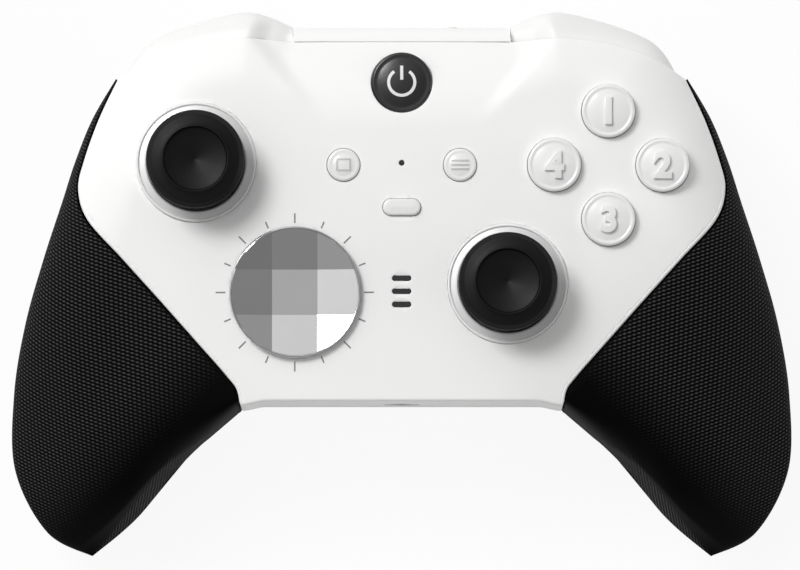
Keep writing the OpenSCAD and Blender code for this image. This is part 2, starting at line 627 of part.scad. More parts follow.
module right_trigger() {
    color(case_white) {
        translate([trigger_x, blade_y, trigger_h]) rotate([0, 0, -trigger_skew]) intersection() {
            along_x(-trigger_w, 2 * trigger_w)
                polygon(concat(spline(blade_front, blade_n), spline(blade_back, blade_n)));
            translate([0, blade_reach, 0]) rotate([90, 0, 0])
                linear_extrude(2 * blade_reach) trigger_outline();
        }
        trigger_arm(trigger_x - trigger_w / 2 + 0.8);
        trigger_arm(trigger_x + trigger_w / 2 - 0.8 - arm_t);
    }
}
module left_trigger() { pair_left() right_trigger(); }
module right_trigger_pin() {
    color("silver") rod_x(ear_in - 0.4, trigger_y, trigger_h, trigger_pin_r, ear_out + ear_t - ear_in + 0.8);
}
module left_trigger_pin() { pair_left() right_trigger_pin(); }

// Return spring, right hand: a coil round the trigger pin
spring_turns = 6;
spring_wire_r = 0.35;
spring_pitch = 1.3;
spring_r = trigger_pin_r + spring_wire_r + seat;
spring_steps = 10;
spring_sides = 6;
module right_trigger_spring() {
    n = spring_turns * spring_steps;
    x0 = trigger_x - spring_turns * spring_pitch / 2;
    coil = [for (k = [0 : n])
               let (a = 360 * k / spring_steps, x = x0 + spring_pitch * k / spring_steps)
               [for (i = [0 : spring_sides - 1])
                   let (b = 360 * i / spring_sides, r = spring_r + spring_wire_r * cos(b))
                   [x + spring_wire_r * sin(b), trigger_y + r * cos(a), trigger_h + r * sin(a)]]];
    turn_gaps = [for (k = [0 : n - spring_steps], p = coil[k], q = coil[k + spring_steps]) norm(p - q)];
    echo(least_gap_of_the_coil = min(turn_gaps));
    color("silver") skin(coil);
}
module left_trigger_spring() { pair_left() right_trigger_spring(); }

// Trigger stop, right hand: a slider in its pocket with a stem through the slot
module right_stop_slider() {
    color("gray") {
        block([stop_x - stop_w / 2, stop_y - stop_l / 2, stop_floor - 2.2],
              [stop_x + stop_w / 2, stop_y + stop_l / 2, stop_floor - seam]);
        block([stop_x - 1.2, stop_y - 1.2, stop_floor - 1],
              [stop_x + 1.2, stop_y + 1.2, stop_floor + stop_t + 2]);
        for (k = [-1 : 1])
            block([stop_x - stop_w / 2 + 0.6, stop_y + k * 1.8 - 0.35, stop_floor - 2.7],
                  [stop_x + stop_w / 2 - 0.6, stop_y + k * 1.8 + 0.35, stop_floor - 2]);
    }
}
module left_stop_slider() { pair_left() right_stop_slider(); }

// Stick: ring in the shell, base on the board, cradle, gimbal, post and cap. Places are the pivot's.
base_half = 7.2;
base_wall = 1;
cradle_half = 5.8;
module stick_ring(p) {
    z = face_z(p);
    color(case_white) translate(at(p, z)) rotate_extrude()
        polygon([[ring_bore_r, -wall], [ring_r - 0.8, -wall], [ring_r - 0.8, 0.06 - ring_seat],
                 [ring_r, 0.06 - ring_seat], [ring_r, ring_rise - 0.3], [ring_r - 0.2, ring_rise],
                 [ring_r - 0.5, ring_rise], [ring_bore_r, -1.4]]);
}
module stick_base(p) {
    color("gray") translate(at(p, 0)) difference() {
        block([-base_half, -base_half, board_h], [base_half, base_half, pivot_h + 3]);
        block([-base_half + base_wall, -base_half + base_wall, board_h + base_wall],
              [base_half - base_wall, base_half - base_wall, pivot_h + 4]);
    }
    color("gold") translate(at(p, board_h + base_wall - 0.2)) cylinder(r = 1.8, h = 0.5);
}
cradle_low = board_h + base_wall + 1.2;
module stick_cradle(p) {
    color("ivory") translate(at(p, 0)) difference() {
        union() {
            block([-cradle_half, -3, cradle_low], [cradle_half, 3, cradle_low + 0.8]);
            for (s = [-1, 1]) translate([s * (cradle_half - 0.6), 0, 0])
                block([-0.6, -3, cradle_low], [0.6, 3, pivot_h + 1.8]);
            translate([0, 0, cradle_low - 0.2]) cylinder(r = 1.2, h = 0.4);
        }
        rod_x(-base_half, 0, pivot_h, gimbal_pin_r + pin_play, 2 * base_half);
    }
}
gimbal_r = 4.3;
gimbal_hole = 3.1;
gimbal_t = 2;
module gimbal(p, z, r, hole, t, pin_r, reach) {
    color("ivory") translate(at(p, z)) difference() {
        union() {
            translate([0, 0, -t / 2]) cylinder(r = r, h = t);
            rod_x(-reach, 0, 0, pin_r, 2 * reach);
        }
        translate([0, 0, -t]) cylinder(r = hole, h = 2 * t);
        rod_y(0, -2 * r, 0, pin_r + pin_play, 4 * r);
    }
}
module stick_gimbal(p) {
    gimbal(p, pivot_h, gimbal_r, gimbal_hole, gimbal_t, gimbal_pin_r, cradle_half - 0.1);
}
dome_t = 1;
dome_cover = 62; // half angle of the dome
neck_r = 4.6;
neck_low = dome_r - 1.4;
cap_under = cap_h - 4.6; // underside of the cap's flange, above the pivot
function dome_point(r, a) = r * [sin(a), cos(a)];
module stick_post(p) {
    color("gainsboro") translate(at(p, pivot_h)) {
        translate([0, 0, -3]) cylinder(r = post_r, h = neck_low + 3);
        rotate_extrude() polygon(concat(
            [[0, neck_low - 0.6]], [for (a = [10 : 6.5 : dome_cover]) dome_point(dome_r - dome_t, a)],
            [for (a = [dome_cover : -6.5 : 26]) dome_point(dome_r, a)],
            [[neck_r, dome_r - 0.8], [neck_r - 0.6, cap_under - 1.6], [neck_r - 0.6, cap_under],
             [0, cap_under]]));
        rod_y(0, 0.2 - gimbal_r, 0, gimbal_pin_r, 2 * gimbal_r - 0.4);
    }
}
cap_rim = 6.4; // radius of the dished middle
module stick_cap(p) {
    color("#202022") translate(at(p, pivot_h)) rotate_extrude()
        polygon(concat([[0, cap_under], [cap_r - 1.2, cap_under], [cap_r - 0.3, cap_under + 0.8]],
                       [for (a = [0 : 15 : 90])
                           [cap_r - 1.4 + 1.4 * cos(a), cap_h - 1.4 + 1.4 * sin(a)]],
                       [[cap_rim + 0.3, cap_h], [cap_rim - 0.6, cap_h - 0.8], [0, cap_h - 1.9]]));
}

// Direction disc on a gimbal of its own
disc_z = face_z(disc_at);
disc_pivot = disc_z - 4.2;
disc_low = disc_z - 0.5;
disc_hub = 2.4;
disc_ring_r = 5.4;
disc_pin_r = 0.8;
disc_ears = 7.1;
disc_base_w = 2.6; // half width
module disc_base() {
    color("gray") translate(at(disc_at, 0)) difference() {
        union() {
            block([-disc_ears, -disc_base_w, button_board_h], [disc_ears, disc_base_w, button_board_h + 0.8]);
            for (s = [-1, 1]) translate([s * (disc_ears - 0.6), 0, 0])
                block([-0.6, -disc_base_w, button_board_h], [0.6, disc_base_w, disc_pivot + 1.7]);
        }
        rod_x(-2 * disc_ears, 0, disc_pivot, disc_pin_r + pin_play, 4 * disc_ears);
    }
}
module disc_gimbal() { gimbal(disc_at, disc_pivot, disc_ring_r, 3.6, 2, disc_pin_r, disc_ears - 0.1); }
facet = 4.6; // half width of the level facet in the middle
module direction_disc() {
    rim = disc_rise + disc_z - disc_low;
    color("silver") translate(at(disc_at, disc_low)) {
        difference() {
            union() {
                cylinder(r = disc_r, h = rim - 0.5);
                translate([0, 0, rim - 0.5]) cylinder(r1 = disc_r, r2 = disc_r - 0.5, h = 0.5);
            }
            // Dish of nine flat facets: a level square with sloping sides and corners
            hull() {
                translate([0, 0, rim - dish_depth]) linear_extrude(0.01) square(2 * facet, center = true);
                for (a = [0 : 90 : 270]) rotate(a) {
                    translate([disc_r + 1, -facet, rim - 0.1]) cube([0.1, 2 * facet, 3]);
                    rotate(45) translate([disc_r + 2, -0.5, rim + 0.5]) cube([0.1, 1, 2]);
                }
            }
        }
        translate([0, 0, disc_pivot - disc_low - 1.4])
            cylinder(r = disc_hub, h = disc_low - disc_pivot + 1.4 + root);
        rod_y(0, 0.2 - disc_ring_r, disc_pivot - disc_low, disc_pin_r, 2 * disc_ring_r - 0.4);
    }
}

// Buttons. Each has a flange under the shell and a stem over its switch.
button_edge = 0.6;  // rounding of the rim
button_crown = 0.9; // height of the crowned top
module round_button(p, r, rise, travel, tone) {
    z = face_z(p);
    under = flange_z(p, r + flange);
    stem = min(2.4, r - 0.6);
    low = button_board_h + travel + seat;
    color(tone) translate(at(p, 0)) rotate_extrude()
        polygon(concat([[0, low], [stem, low], [stem, under - flange_t], [r + flange, under - flange_t],
                        [r + flange, under], [r, under]],
                       [for (a = [0 : 15 : 75])
                           [r - button_edge * (1 - cos(a)), z + rise - button_crown + button_edge * sin(a)]],
                       [[0, z + rise]]));
}
module button_north() { round_button(button_places[0], button_r, button_rise, button_travel, case_white); }
module button_east() { round_button(button_places[1], button_r, button_rise, button_travel, case_white); }
module button_south() { round_button(button_places[2], button_r, button_rise, button_travel, case_white); }
module button_west() { round_button(button_places[3], button_r, button_rise, button_travel, case_white); }
module view_button() { round_button(menu_places[0], menu_r, small_rise, small_travel, case_white); }
module menu_button() { round_button(menu_places[1], menu_r, small_rise, small_travel, case_white); }
module home_button() { round_button(home_at, home_r, small_rise, small_travel, "#2a2a2c"); }
module profile_button() {
    z = face_z(profile_at);
    under = flange_z(profile_at, profile_l + flange);
    color(case_white) translate(at(profile_at, 0)) {
        translate([0, 0, under - flange_t]) linear_extrude(flange_t)
            stadium(profile_l + flange, profile_w + flange);
        translate([0, 0, under - flange_t])
            linear_extrude(z + small_rise - under + flange_t) stadium(profile_l, profile_w);
        translate([0, 0, button_board_h + small_travel + seat])
            cylinder(r = 1.2, h = under - button_board_h - small_travel - seat);
    }
}
module profile_lights() {
    color("#222222") for (k = [-1 : 1])
        let (p = [0, lights_y + k * light_pitch])
        translate(at(p, face_z(p) - wall - 1)) linear_extrude(wall + 0.9) stadium(light_l, light_w);
}
module status_light() {
    color("#222222") translate(at(status_at, face_z(status_at) - wall - 1))
        cylinder(r = status_r, h = wall + 0.9);
}

// Boards
board_low = frame_edge + 2; // lower edge of the main board
main_edge = [[12, tower_y - 3.6], [12, bay_y - 1.6], [49, bay_y - 1.6], [49, 14], [34, -8], [32, board_low],
             [0, board_low]];
module main_board() {
    color("seagreen") translate([0, 0, board_h - board_t]) linear_extrude(board_t) difference() {
        polygon(concat(main_edge, reversed([for (p = main_edge) [-p.x, p.y]])));
        for (p = board_posts) translate(p) circle(1);
        for (p = screw_places) translate(p) circle(boss_r + seat);
    }
}
button_board_t = 1.2;
spacer_places = [[-32, 10.2 - lower_y], [6.5, 12.2 - lower_y], [-6.5, bay_y - 5.6], [8, bay_y - 5.6],
                 [40, 10]];
module button_board() {
    color("seagreen") translate([0, 0, button_board_h - button_board_t]) linear_extrude(button_board_t)
        difference() {
            union() {
                plate([-36, board_low + 1], [8, 13]);
                plate([-16, board_low + 1], [16, home_y + 3.8]);
                plate([8, 8], [buttons_x + 14, buttons_y + 9.8]);
                plate([buttons_x - 7, buttons_y + 7], [buttons_x + 7, buttons_y + 13.1]);
            }
            for (p = [left_stick, right_stick]) translate(p) circle(ring_r + 1.3);
            for (p = screw_places) translate(p) circle(boss_r + seat);
        }
}
module board_spacers() {
    color("gold") for (p = spacer_places)
        translate(at(p, board_h)) cylinder(r = 1.8, h = button_board_h - button_board_t - board_h, $fn = 6);
}
module board_screws() {
    color("silver") for (p = board_posts) translate(at(p, 0)) {
        translate([0, 0, board_h]) cylinder(r = 1.7, h = 1.2);
        translate([0, 0, frame_low + 0.6]) cylinder(r = 0.88, h = board_h - frame_low);
    }
}
module shell_screws() {
    color("silver") for (p = screw_places) translate(at(p, 0)) difference() {
        union() {
            translate([0, 0, screw_head_h - 1.6]) cylinder(r = screw_head_r, h = 1.6);
            translate([0, 0, screw_head_h - root])
                cylinder(r = screw_r - 0.02, h = frame_h + 10 - screw_head_h);
        }
        translate([0, 0, screw_head_h - 2]) cylinder(r = 0.9, h = 1.4, $fn = 6);
    }
}

// Power, ports and motors
battery_x = 20; // half length
battery_y = 1;  // lower edge
battery_t = 7.75;
module battery_pack() {
    low = bulge_h + wall + 0.75;
    color("slategray") block([-battery_x, battery_y, low], [battery_x, bay_y - 11, low + battery_t]);
}
module usb_port() {
    color("silver") translate([0, cover_y - 0.4, usb_h]) rotate([90, 0, 0]) {
        difference() {
            linear_extrude(usb_l) stadium(usb_w / 2, usb_t / 2);
            translate([0, 0, -cut]) linear_extrude(usb_l - 1 + cut) stadium(usb_w / 2 - 0.3, usb_t / 2 - 0.3);
        }
        translate([-3.3, -0.35, 0.8]) cube([6.6, 0.7, usb_l - 1]);
    }
}
module pairing_button() {
    color("#333333") {
        rod_y(pair_x, cover_y - cover_t - 0.3, usb_h, pair_r, cover_t + 0.8);
        rod_y(pair_x, cover_y - cover_t - 1.5, usb_h, pair_r + 0.8, 1.2);
    }
}
module headset_socket() {
    color("#222222") difference() {
        union() {
            rod_y(0, -lower_y + 0.1, jack_h, jack_nose_r, wall + 2.6);
            block([-3.5, -lower_y + wall + 0.8, board_h],
                  [3.5, -lower_y + jack_l + 2, jack_h + jack_r + 0.4]);
        }
        rod_y(0, -lower_y - cut, jack_h, jack_r, jack_l + cut + 0.1);
    }
}
module dock_plate() {
    color("#d8d8d8") difference() {
        translate([0, plate_y, 0]) linear_extrude(plate_t) stadium(plate_l, plate_w);
        for (k = [-1 : 1]) translate([k * 5, plate_y, -cut]) cylinder(r = 1.35, h = plate_t + 2 * cut);
    }
}
module dock_contacts() {
    color("gold") for (k = [-1 : 1]) translate([k * 5, plate_y, 0.2]) cylinder(r = 1.3, h = plate_t - 0.2);
}
module right_motor() {
    color("silver") {
        rod_y(motor_at.x, motor_at.y - motor_l, motor_at.z, motor_r, motor_l);
        rod_y(motor_at.x, motor_at.y - 1, motor_at.z, 3, 2);
    }
}
module left_motor() { pair_left() right_motor(); }
module right_motor_weight() {
    color("gray") {
        rod_y(motor_at.x, motor_at.y + 1.2, motor_at.z, 1, 7);
        difference() {
            rod_y(motor_at.x, motor_at.y + 1.6, motor_at.z, 8, 6);
            block([motor_at.x - motor_r, motor_at.y, motor_at.z + 1.6],
                  [motor_at.x + motor_r, motor_at.y + 9, motor_at.z + motor_r]);
        }
    }
}
module left_motor_weight() { pair_left() right_motor_weight(); }

module left_stick_ring() { stick_ring(left_stick); }
module right_stick_ring() { stick_ring(right_stick); }
module left_stick_base() { stick_base(left_stick); }
module right_stick_base() { stick_base(right_stick); }
module left_stick_cradle() { stick_cradle(left_stick); }
module right_stick_cradle() { stick_cradle(right_stick); }
module left_stick_gimbal() { stick_gimbal(left_stick); }
module right_stick_gimbal() { stick_gimbal(right_stick); }
module left_stick_post() { stick_post(left_stick); }
module right_stick_post() { stick_post(right_stick); }
module left_stick_cap() { stick_cap(left_stick); }
module right_stick_cap() { stick_cap(right_stick); }

front_shell();
rear_shell();
left_grip();
right_grip();
top_cover();
middle_frame();
left_bumper();
right_bumper();
left_trigger();
right_trigger();
left_trigger_pin();
right_trigger_pin();
left_trigger_spring();
right_trigger_spring();
left_stop_slider();
right_stop_slider();
left_stick_ring();
right_stick_ring();
left_stick_base();
right_stick_base();
left_stick_cradle();
right_stick_cradle();
left_stick_gimbal();
right_stick_gimbal();
left_stick_post();
right_stick_post();
left_stick_cap();
right_stick_cap();
disc_base();
disc_gimbal();
direction_disc();
button_north();
button_east();
button_south();
button_west();
view_button();
menu_button();
profile_button();
home_button();
profile_lights();
status_light();
main_board();
button_board();
board_spacers();
board_screws();
shell_screws();
battery_pack();
usb_port();
pairing_button();
headset_socket();
dock_plate();
dock_contacts();
left_motor();
right_motor();
left_motor_weight();
right_motor_weight();
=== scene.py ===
import math

import bmesh
import bpy
import numpy as np
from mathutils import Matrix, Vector
from mathutils.geometry import delaunay_2d_cdt


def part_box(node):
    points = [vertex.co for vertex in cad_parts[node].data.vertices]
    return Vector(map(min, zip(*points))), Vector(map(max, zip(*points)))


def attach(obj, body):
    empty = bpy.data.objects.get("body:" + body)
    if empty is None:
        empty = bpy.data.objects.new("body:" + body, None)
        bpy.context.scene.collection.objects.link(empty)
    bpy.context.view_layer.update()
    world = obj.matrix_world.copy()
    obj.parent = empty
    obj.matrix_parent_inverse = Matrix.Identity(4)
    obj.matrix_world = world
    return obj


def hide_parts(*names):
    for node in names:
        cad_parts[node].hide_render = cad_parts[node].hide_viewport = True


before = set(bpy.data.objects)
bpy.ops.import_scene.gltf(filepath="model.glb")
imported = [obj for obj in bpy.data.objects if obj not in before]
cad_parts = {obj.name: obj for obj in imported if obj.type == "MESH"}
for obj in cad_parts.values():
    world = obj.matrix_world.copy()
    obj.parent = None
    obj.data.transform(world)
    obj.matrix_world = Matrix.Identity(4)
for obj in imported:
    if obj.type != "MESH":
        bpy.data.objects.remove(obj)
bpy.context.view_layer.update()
mm = 0.001  # shapes are worked out in millimetres and put into the meshes in metres


# places in the frame, in millimetres
def boxOf(node):
    low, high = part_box(node)
    return np.array(low) / mm, np.array(high) / mm


def centreOf(node):
    low, high = boxOf(node)
    return (low + high) / 2


def planOf(node):
    return centreOf(node)[:2]


def halfWidthOf(node):
    low, high = boxOf(node)
    return (high[0] - low[0]) / 2


# curves in plan
def ease(a, b, t):  # smooth step from 0 at a to 1 at b
    s = np.clip((t - a) / (b - a), 0, 1)
    return s * s * (3 - 2 * s)


def roll(t, power):  # quarter of a superellipse: 0 at the edge, 1 from one radius inwards
    return (1 - (1 - np.clip(t, 0, 1)) ** power) ** (1 / power)


def edgeDrop(distance, radius):  # quarter round: how far a face drops at this distance from its edge
    return radius * (1 - roll(distance / radius, 2))


def splineAt(points, u):  # Catmull-Rom curve with its end points doubled, u counts the spans
    p = np.asarray(points, float)
    u = np.asarray(u, float)
    last = len(p) - 1
    i = np.clip(np.floor(u).astype(int), 0, last - 1)
    t = (u - i)[..., None]
    a, b = p[np.maximum(i - 1, 0)], p[i]
    c, d = p[i + 1], p[np.minimum(i + 2, last)]
    return 0.5 * (2 * b + (c - a) * t + (2 * a - 5 * b + 4 * c - d) * t**2 + (3 * b - a - 3 * c + d) * t**3)


def spline(points, perSpan):
    return splineAt(points, np.arange(perSpan * (len(points) - 1) + 1) / perSpan)


def closed(loop):
    return np.vstack([loop, loop[:1]])


def onCircle(a):  # unit vectors at these angles
    return np.stack([np.cos(a), np.sin(a)], 1)


def atLevel(loop, z):  # a plan loop lifted to one height
    return np.column_stack([loop, np.full(len(loop), z)])


def distTo(path, p):  # least distance from each point to a chain of segments
    best = np.full(len(p), 1e9)
    for start, step in zip(path[:-1], np.diff(path, axis=0)):
        length = step @ step
        t = np.clip(((p - start) @ step) / max(length, 1e-12), 0, 1)
        best = np.minimum(best, np.linalg.norm(p - start - t[:, None] * step, axis=1))
    return best


def inLoop(p, loop):  # even-odd rule for all points at once, edge by edge
    x, y = p.T
    inside = np.zeros(len(p), bool)
    for (x0, y0), (x1, y1) in zip(loop, np.roll(loop, -1, axis=0)):
        if y0 != y1:
            inside ^= ((y0 > y) != (y1 > y)) & (x < (x1 - x0) * (y - y0) / (y1 - y0) + x0)
    return inside


def pillLoop(centre, halfL, halfW, count):  # round-ended slot, or a circle where both halves are equal
    a = np.linspace(0, 2 * np.pi, count, endpoint=False)
    shift = np.where(np.cos(a) >= -1e-9, halfL - halfW, halfW - halfL)
    return np.stack([centre[0] + shift + halfW * np.cos(a), centre[1] + halfW * np.sin(a)], 1)


def pastPill(p, centre, halfL, halfW):  # distance outside such a slot
    return np.hypot(np.maximum(np.abs(p[:, 0] - centre[0]) - (halfL - halfW), 0), p[:, 1] - centre[1]) - halfW


def hexGrid(low, high, pitch):  # rows of points, every second row shifted by half a pitch
    rows = np.arange(low[1], high[1], pitch * 0.866)
    cols = np.arange(low[0], high[0], pitch)
    x, y = np.meshgrid(cols, rows)
    x = x + (np.arange(len(rows)) % 2)[:, None] * pitch / 2
    return np.stack([x.ravel(), y.ravel()], 1)


def insetLoops(loop, steps):  # points moved off a loop to its inner side, kept where no other edge is nearer
    ahead, behind = np.roll(loop, -1, axis=0), np.roll(loop, 1, axis=0)
    along = ahead - behind
    side = np.stack([-along[:, 1], along[:, 0]], 1) / np.linalg.norm(along, axis=1)[:, None]
    if np.cross(loop, ahead).sum() < 0:
        side = -side
    moved = np.vstack([loop + side * step for step in steps])
    wanted = np.repeat(steps, len(loop))
    return moved[distTo(closed(loop), moved) > wanted * 0.9]


# meshes
def fillPlan(outline, holes, inner, gap):
    # triangles over a plan: the outline and the holes are kept as edges, inner points fill the rest
    keep = inLoop(inner, outline) & (distTo(closed(outline), inner) > gap)
    for hole in holes:
        keep &= ~inLoop(inner, hole) & (distTo(closed(hole), inner) > gap)
    loops = [outline, *holes]
    points = np.vstack([*loops, inner[keep]])
    edges, start = [], 0
    for loop in loops:
        order = np.arange(len(loop))
        edges += (np.stack([order, np.roll(order, -1)], 1) + start).tolist()
        start += len(loop)
    made = delaunay_2d_cdt([Vector(p) for p in points.tolist()], edges, [], 0, 1e-7)
    origin = np.array([names[0] for names in made[3]])
    faces = origin[np.array(made[2])]
    middle = points[faces].mean(1)
    solid = inLoop(middle, outline)
    for hole in holes:
        solid &= ~inLoop(middle, hole)
    return points, faces[solid]


def gridFaces(rows, cols, closeRows=False, closeCols=False):
    i = np.arange(rows if closeRows else rows - 1)
    j = np.arange(cols if closeCols else cols - 1)
    a, b = np.meshgrid(i, j, indexing="ij")
    c, d = (a + 1) % rows, (b + 1) % cols
    return np.stack([a * cols + b, c * cols + b, c * cols + d, a * cols + d], -1).reshape(-1, 4)


def gridPart(points, closeRows=False, closeCols=False):  # points (rows, cols, 3) joined to their neighbours
    rows, cols = points.shape[:2]
    return points.reshape(-1, 3), gridFaces(rows, cols, closeRows, closeCols).tolist()


def tubePart(loops):  # closed rings joined into a tube, with one face over each end
    verts, faces = gridPart(loops, closeCols=True)
    n = loops.shape[1]
    return verts, [*faces, list(range(n)), list(range(len(verts) - n, len(verts)))]


def turned(profile, centre, steps):  # a profile of (radius, height) carried round an upright axis
    a = np.linspace(0, 2 * np.pi, steps, endpoint=False)
    r, z = np.asarray(profile, float).T
    x = centre[0] + np.outer(r, np.cos(a))
    y = centre[1] + np.outer(r, np.sin(a))
    return gridPart(np.stack([x, y, np.repeat(z[:, None], steps, 1)], -1), closeCols=True)


def arc(centre, radius, start, end, count):  # part of a circle in (radius, height), angles in degrees
    a = np.radians(np.linspace(start, end, count))
    return (np.asarray(centre) + radius * onCircle(a)).tolist()


def crossPin(centre, z, radius, half):  # a round pin lying along Y
    verts, faces = turned([[0, -half], [radius, -half], [radius, half], [0, half]], (0, 0), 24)
    return np.column_stack([centre[0] + verts[:, 0], centre[1] + verts[:, 2], z - verts[:, 1]]), faces


def stripPart(path, width, heightAt, low, high, loop=False):
    # a flat bar along a plan path: two edges half a width either side, from low to high over a surface
    ahead, behind = np.roll(path, -1, axis=0), np.roll(path, 1, axis=0)
    if not loop:
        ahead[-1], behind[0] = path[-1], path[0]
    along = ahead - behind
    side = np.stack([-along[:, 1], along[:, 0]], 1) / np.linalg.norm(along, axis=1)[:, None] * width / 2
    left, right = path + side, path - side
    rows = [np.column_stack([edge, heightAt(edge) + lift])
            for edge, lift in ((left, high), (right, high), (right, low), (left, low))]
    points = np.stack(rows, 1)
    verts, faces = gridPart(points, closeRows=loop, closeCols=True)
    if not loop:
        last = 4 * (len(path) - 1)
        faces += [[3, 2, 1, 0], [last, last + 1, last + 2, last + 3]]
    return verts, faces


def blockPart(low, high):  # six faces between two corners
    corner = np.array([[i, j, k] for i in (0, 1) for j in (0, 1) for k in (0, 1)])
    verts = np.asarray(low) + corner * (np.asarray(high) - np.asarray(low))
    return verts, [[0, 1, 3, 2], [4, 6, 7, 5], [0, 4, 5, 1], [2, 3, 7, 6], [0, 2, 6, 4], [1, 5, 7, 3]]


def mirrored(parts):
    return [(verts * [-1, 1, 1], faces) for verts, faces in parts]


def addPiece(name, parts, body, slot, material, replaces=(), sharp=35, bevel=0, maps=None):
    # joins the parts of a piece, merges their shared edges, turns the faces outwards and puts it on its body
    verts, faces, start = [], [], 0
    for points, polygons in parts:
        verts.append(points)
        faces += [[v + start for v in polygon] for polygon in polygons]
        start += len(points)
    mesh = bpy.data.meshes.new(name)
    mesh.from_pydata((np.vstack(verts) * mm).tolist(), [], faces)
    for key, values in (maps or {}).items():  # one vector a point, for a pattern that follows the surface
        own = mesh.attributes.new(key, "FLOAT_VECTOR", "POINT")
        own.data.foreach_set("vector", values.astype(np.float32).ravel())
    work = bmesh.new()
    work.from_mesh(mesh)
    bmesh.ops.remove_doubles(work, verts=work.verts, dist=2e-6)
    bmesh.ops.recalc_face_normals(work, faces=work.faces)
    work.to_mesh(mesh)
    work.free()
    mesh.shade_smooth()
    mesh.set_sharp_from_angle(angle=math.radians(sharp))
    mesh.materials.append(material)
    piece = bpy.data.objects.new(name, mesh)
    bpy.context.scene.collection.objects.link(piece)
    if bevel:
        cut = piece.modifiers.new("edges", "BEVEL")
        cut.width = bevel * mm
        cut.segments = 2
        cut.limit_method = "ANGLE"
    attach(piece, body)
    if replaces:
        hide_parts(*replaces)


def addPair(name, node, moves, parts, slot, material, **settings):
    # the right piece and its mirror image, on bodies of their own or on the case
    for side, made in (("right", parts), ("left", mirrored(parts))):
        body = side + "_" + node if moves else "case"
        addPiece(side + name, made, body, slot, material, [side + "_" + node], **settings)


# materials
def linear(hexColour):  # sRGB hex to linear red, green, blue and alpha
    parts = np.array([int(hexColour[i:i + 2], 16) for i in (1, 3, 5)]) / 255
    low = parts / 12.92
    return (*np.where(parts <= 0.04045, low, ((parts + 0.055) / 1.055) ** 2.4).tolist(), 1)


def perMetre(size):  # pattern scale on Object coordinates for a feature this many millimetres across
    return 1 / (size * mm)


def addNode(tree, kind, inputs, **settings):
    node = tree.nodes.new("ShaderNode" + kind)
    for name, value in settings.items():
        setattr(node, name, value)
    for key, value in inputs.items():
        if isinstance(value, bpy.types.NodeSocket):
            tree.links.new(value, node.inputs[key])
        else:
            node.inputs[key].default_value = value
    return node


def newSurface(name, fixed):
    material = bpy.data.materials.new(name)
    material.use_nodes = True
    tree = material.node_tree
    tree.nodes.clear()
    shader = addNode(tree, "BsdfPrincipled", fixed)
    addNode(tree, "OutputMaterial", {"Surface": shader.outputs["BSDF"]})
    place = addNode(tree, "TexCoord", {}).outputs["Object"]
    return material, tree, shader, place


def toned(tree, factor, first, second):  # two colours mixed by a pattern
    mix = addNode(tree, "Mix", {"Factor": factor}, data_type="RGBA")
    mix.inputs[6].default_value, mix.inputs[7].default_value = linear(first), linear(second)
    return mix.outputs[2]


def joinPatterns(tree, shader, colour, rough, relief):
    tree.links.new(colour, shader.inputs["Base Color"])
    tree.links.new(rough.outputs["Result"], shader.inputs["Roughness"])
    tree.links.new(relief.outputs["Normal"], shader.inputs["Normal"])


def finish(name, look):
    # a moulded, cast or plated surface: cloudy tone, roughness that wanders and a fine grain in relief
    material, tree, shader, place = newSurface(name, look.get("fixed", {}))
    stretch = addNode(tree, "Mapping", {"Vector": place, "Scale": look.get("stretch", (1, 1, 1))})
    along = stretch.outputs["Vector"]
    cloud = addNode(tree, "TexNoise", {"Vector": place, "Scale": perMetre(look["cloud"]), "Detail": 3})
    grain = addNode(tree, "TexNoise", {"Vector": along, "Scale": perMetre(look["grain"]), "Detail": 2})
    rough = addNode(tree, "MapRange", {"Value": grain.outputs["Fac"], "From Min": 0.3, "From Max": 0.7,
                                       "To Min": look["rough"][0], "To Max": look["rough"][1]})
    relief = addNode(tree, "Bump", {"Height": grain.outputs["Fac"], "Strength": look["bump"],
                                    "Distance": look["grain"] * mm * 0.2})
    joinPatterns(tree, shader, toned(tree, cloud.outputs["Fac"], *look["tones"]), rough, relief)
    return material


# white ABS, moulded in a finely etched tool: an even pale matt with a soft sheen on the curves
whiteAbs = finish("moulded white ABS", {
    "tones": ("#f7f7f6", "#fafaf9"), "rough": (0.42, 0.5), "cloud": 30, "grain": 0.35, "bump": 0.12,
    "fixed": {"IOR": 1.53, "Specular IOR Level": 0.45}})
# the bumpers' own moulding: the same plastic, a shade greyer
bumperAbs = finish("moulded off white ABS", {
    "tones": ("#efefee", "#f2f2f1"), "rough": (0.42, 0.5), "cloud": 20, "grain": 0.35, "bump": 0.12,
    "fixed": {"IOR": 1.53, "Specular IOR Level": 0.45}})
# the same plastic from a polished tool: pale with a clear glint on each button
glossAbs = finish("polished white ABS", {
    "tones": ("#eeeeed", "#f3f3f2"), "rough": (0.16, 0.22), "cloud": 6, "grain": 1.2, "bump": 0.03,
    "fixed": {"IOR": 1.53, "Coat Weight": 0.25, "Coat Roughness": 0.08}})
# ink printed on the shell: flat mid grey, no shine
markGrey = finish("printed grey ink", {
    "tones": ("#7d7d7e", "#8a8a8b"), "rough": (0.5, 0.6), "cloud": 2, "grain": 0.3, "bump": 0.1,
    "fixed": {"IOR": 1.5}})
# ink printed on the small buttons: faint grey lines, a little smoother than the shell
markPale = finish("pad printed pale grey ink", {
    "tones": ("#c4c4c4", "#cccccc"), "rough": (0.4, 0.5), "cloud": 2, "grain": 0.3, "bump": 0.05,
    "fixed": {"IOR": 1.5}})
# grey plastic from an etched tool: dull, so that the sliders read as parts to push
sliderGrey = finish("moulded grey ABS", {
    "tones": ("#a3a3a3", "#adadad"), "rough": (0.4, 0.5), "cloud": 5, "grain": 0.3, "bump": 0.15,
    "fixed": {"IOR": 1.53}})
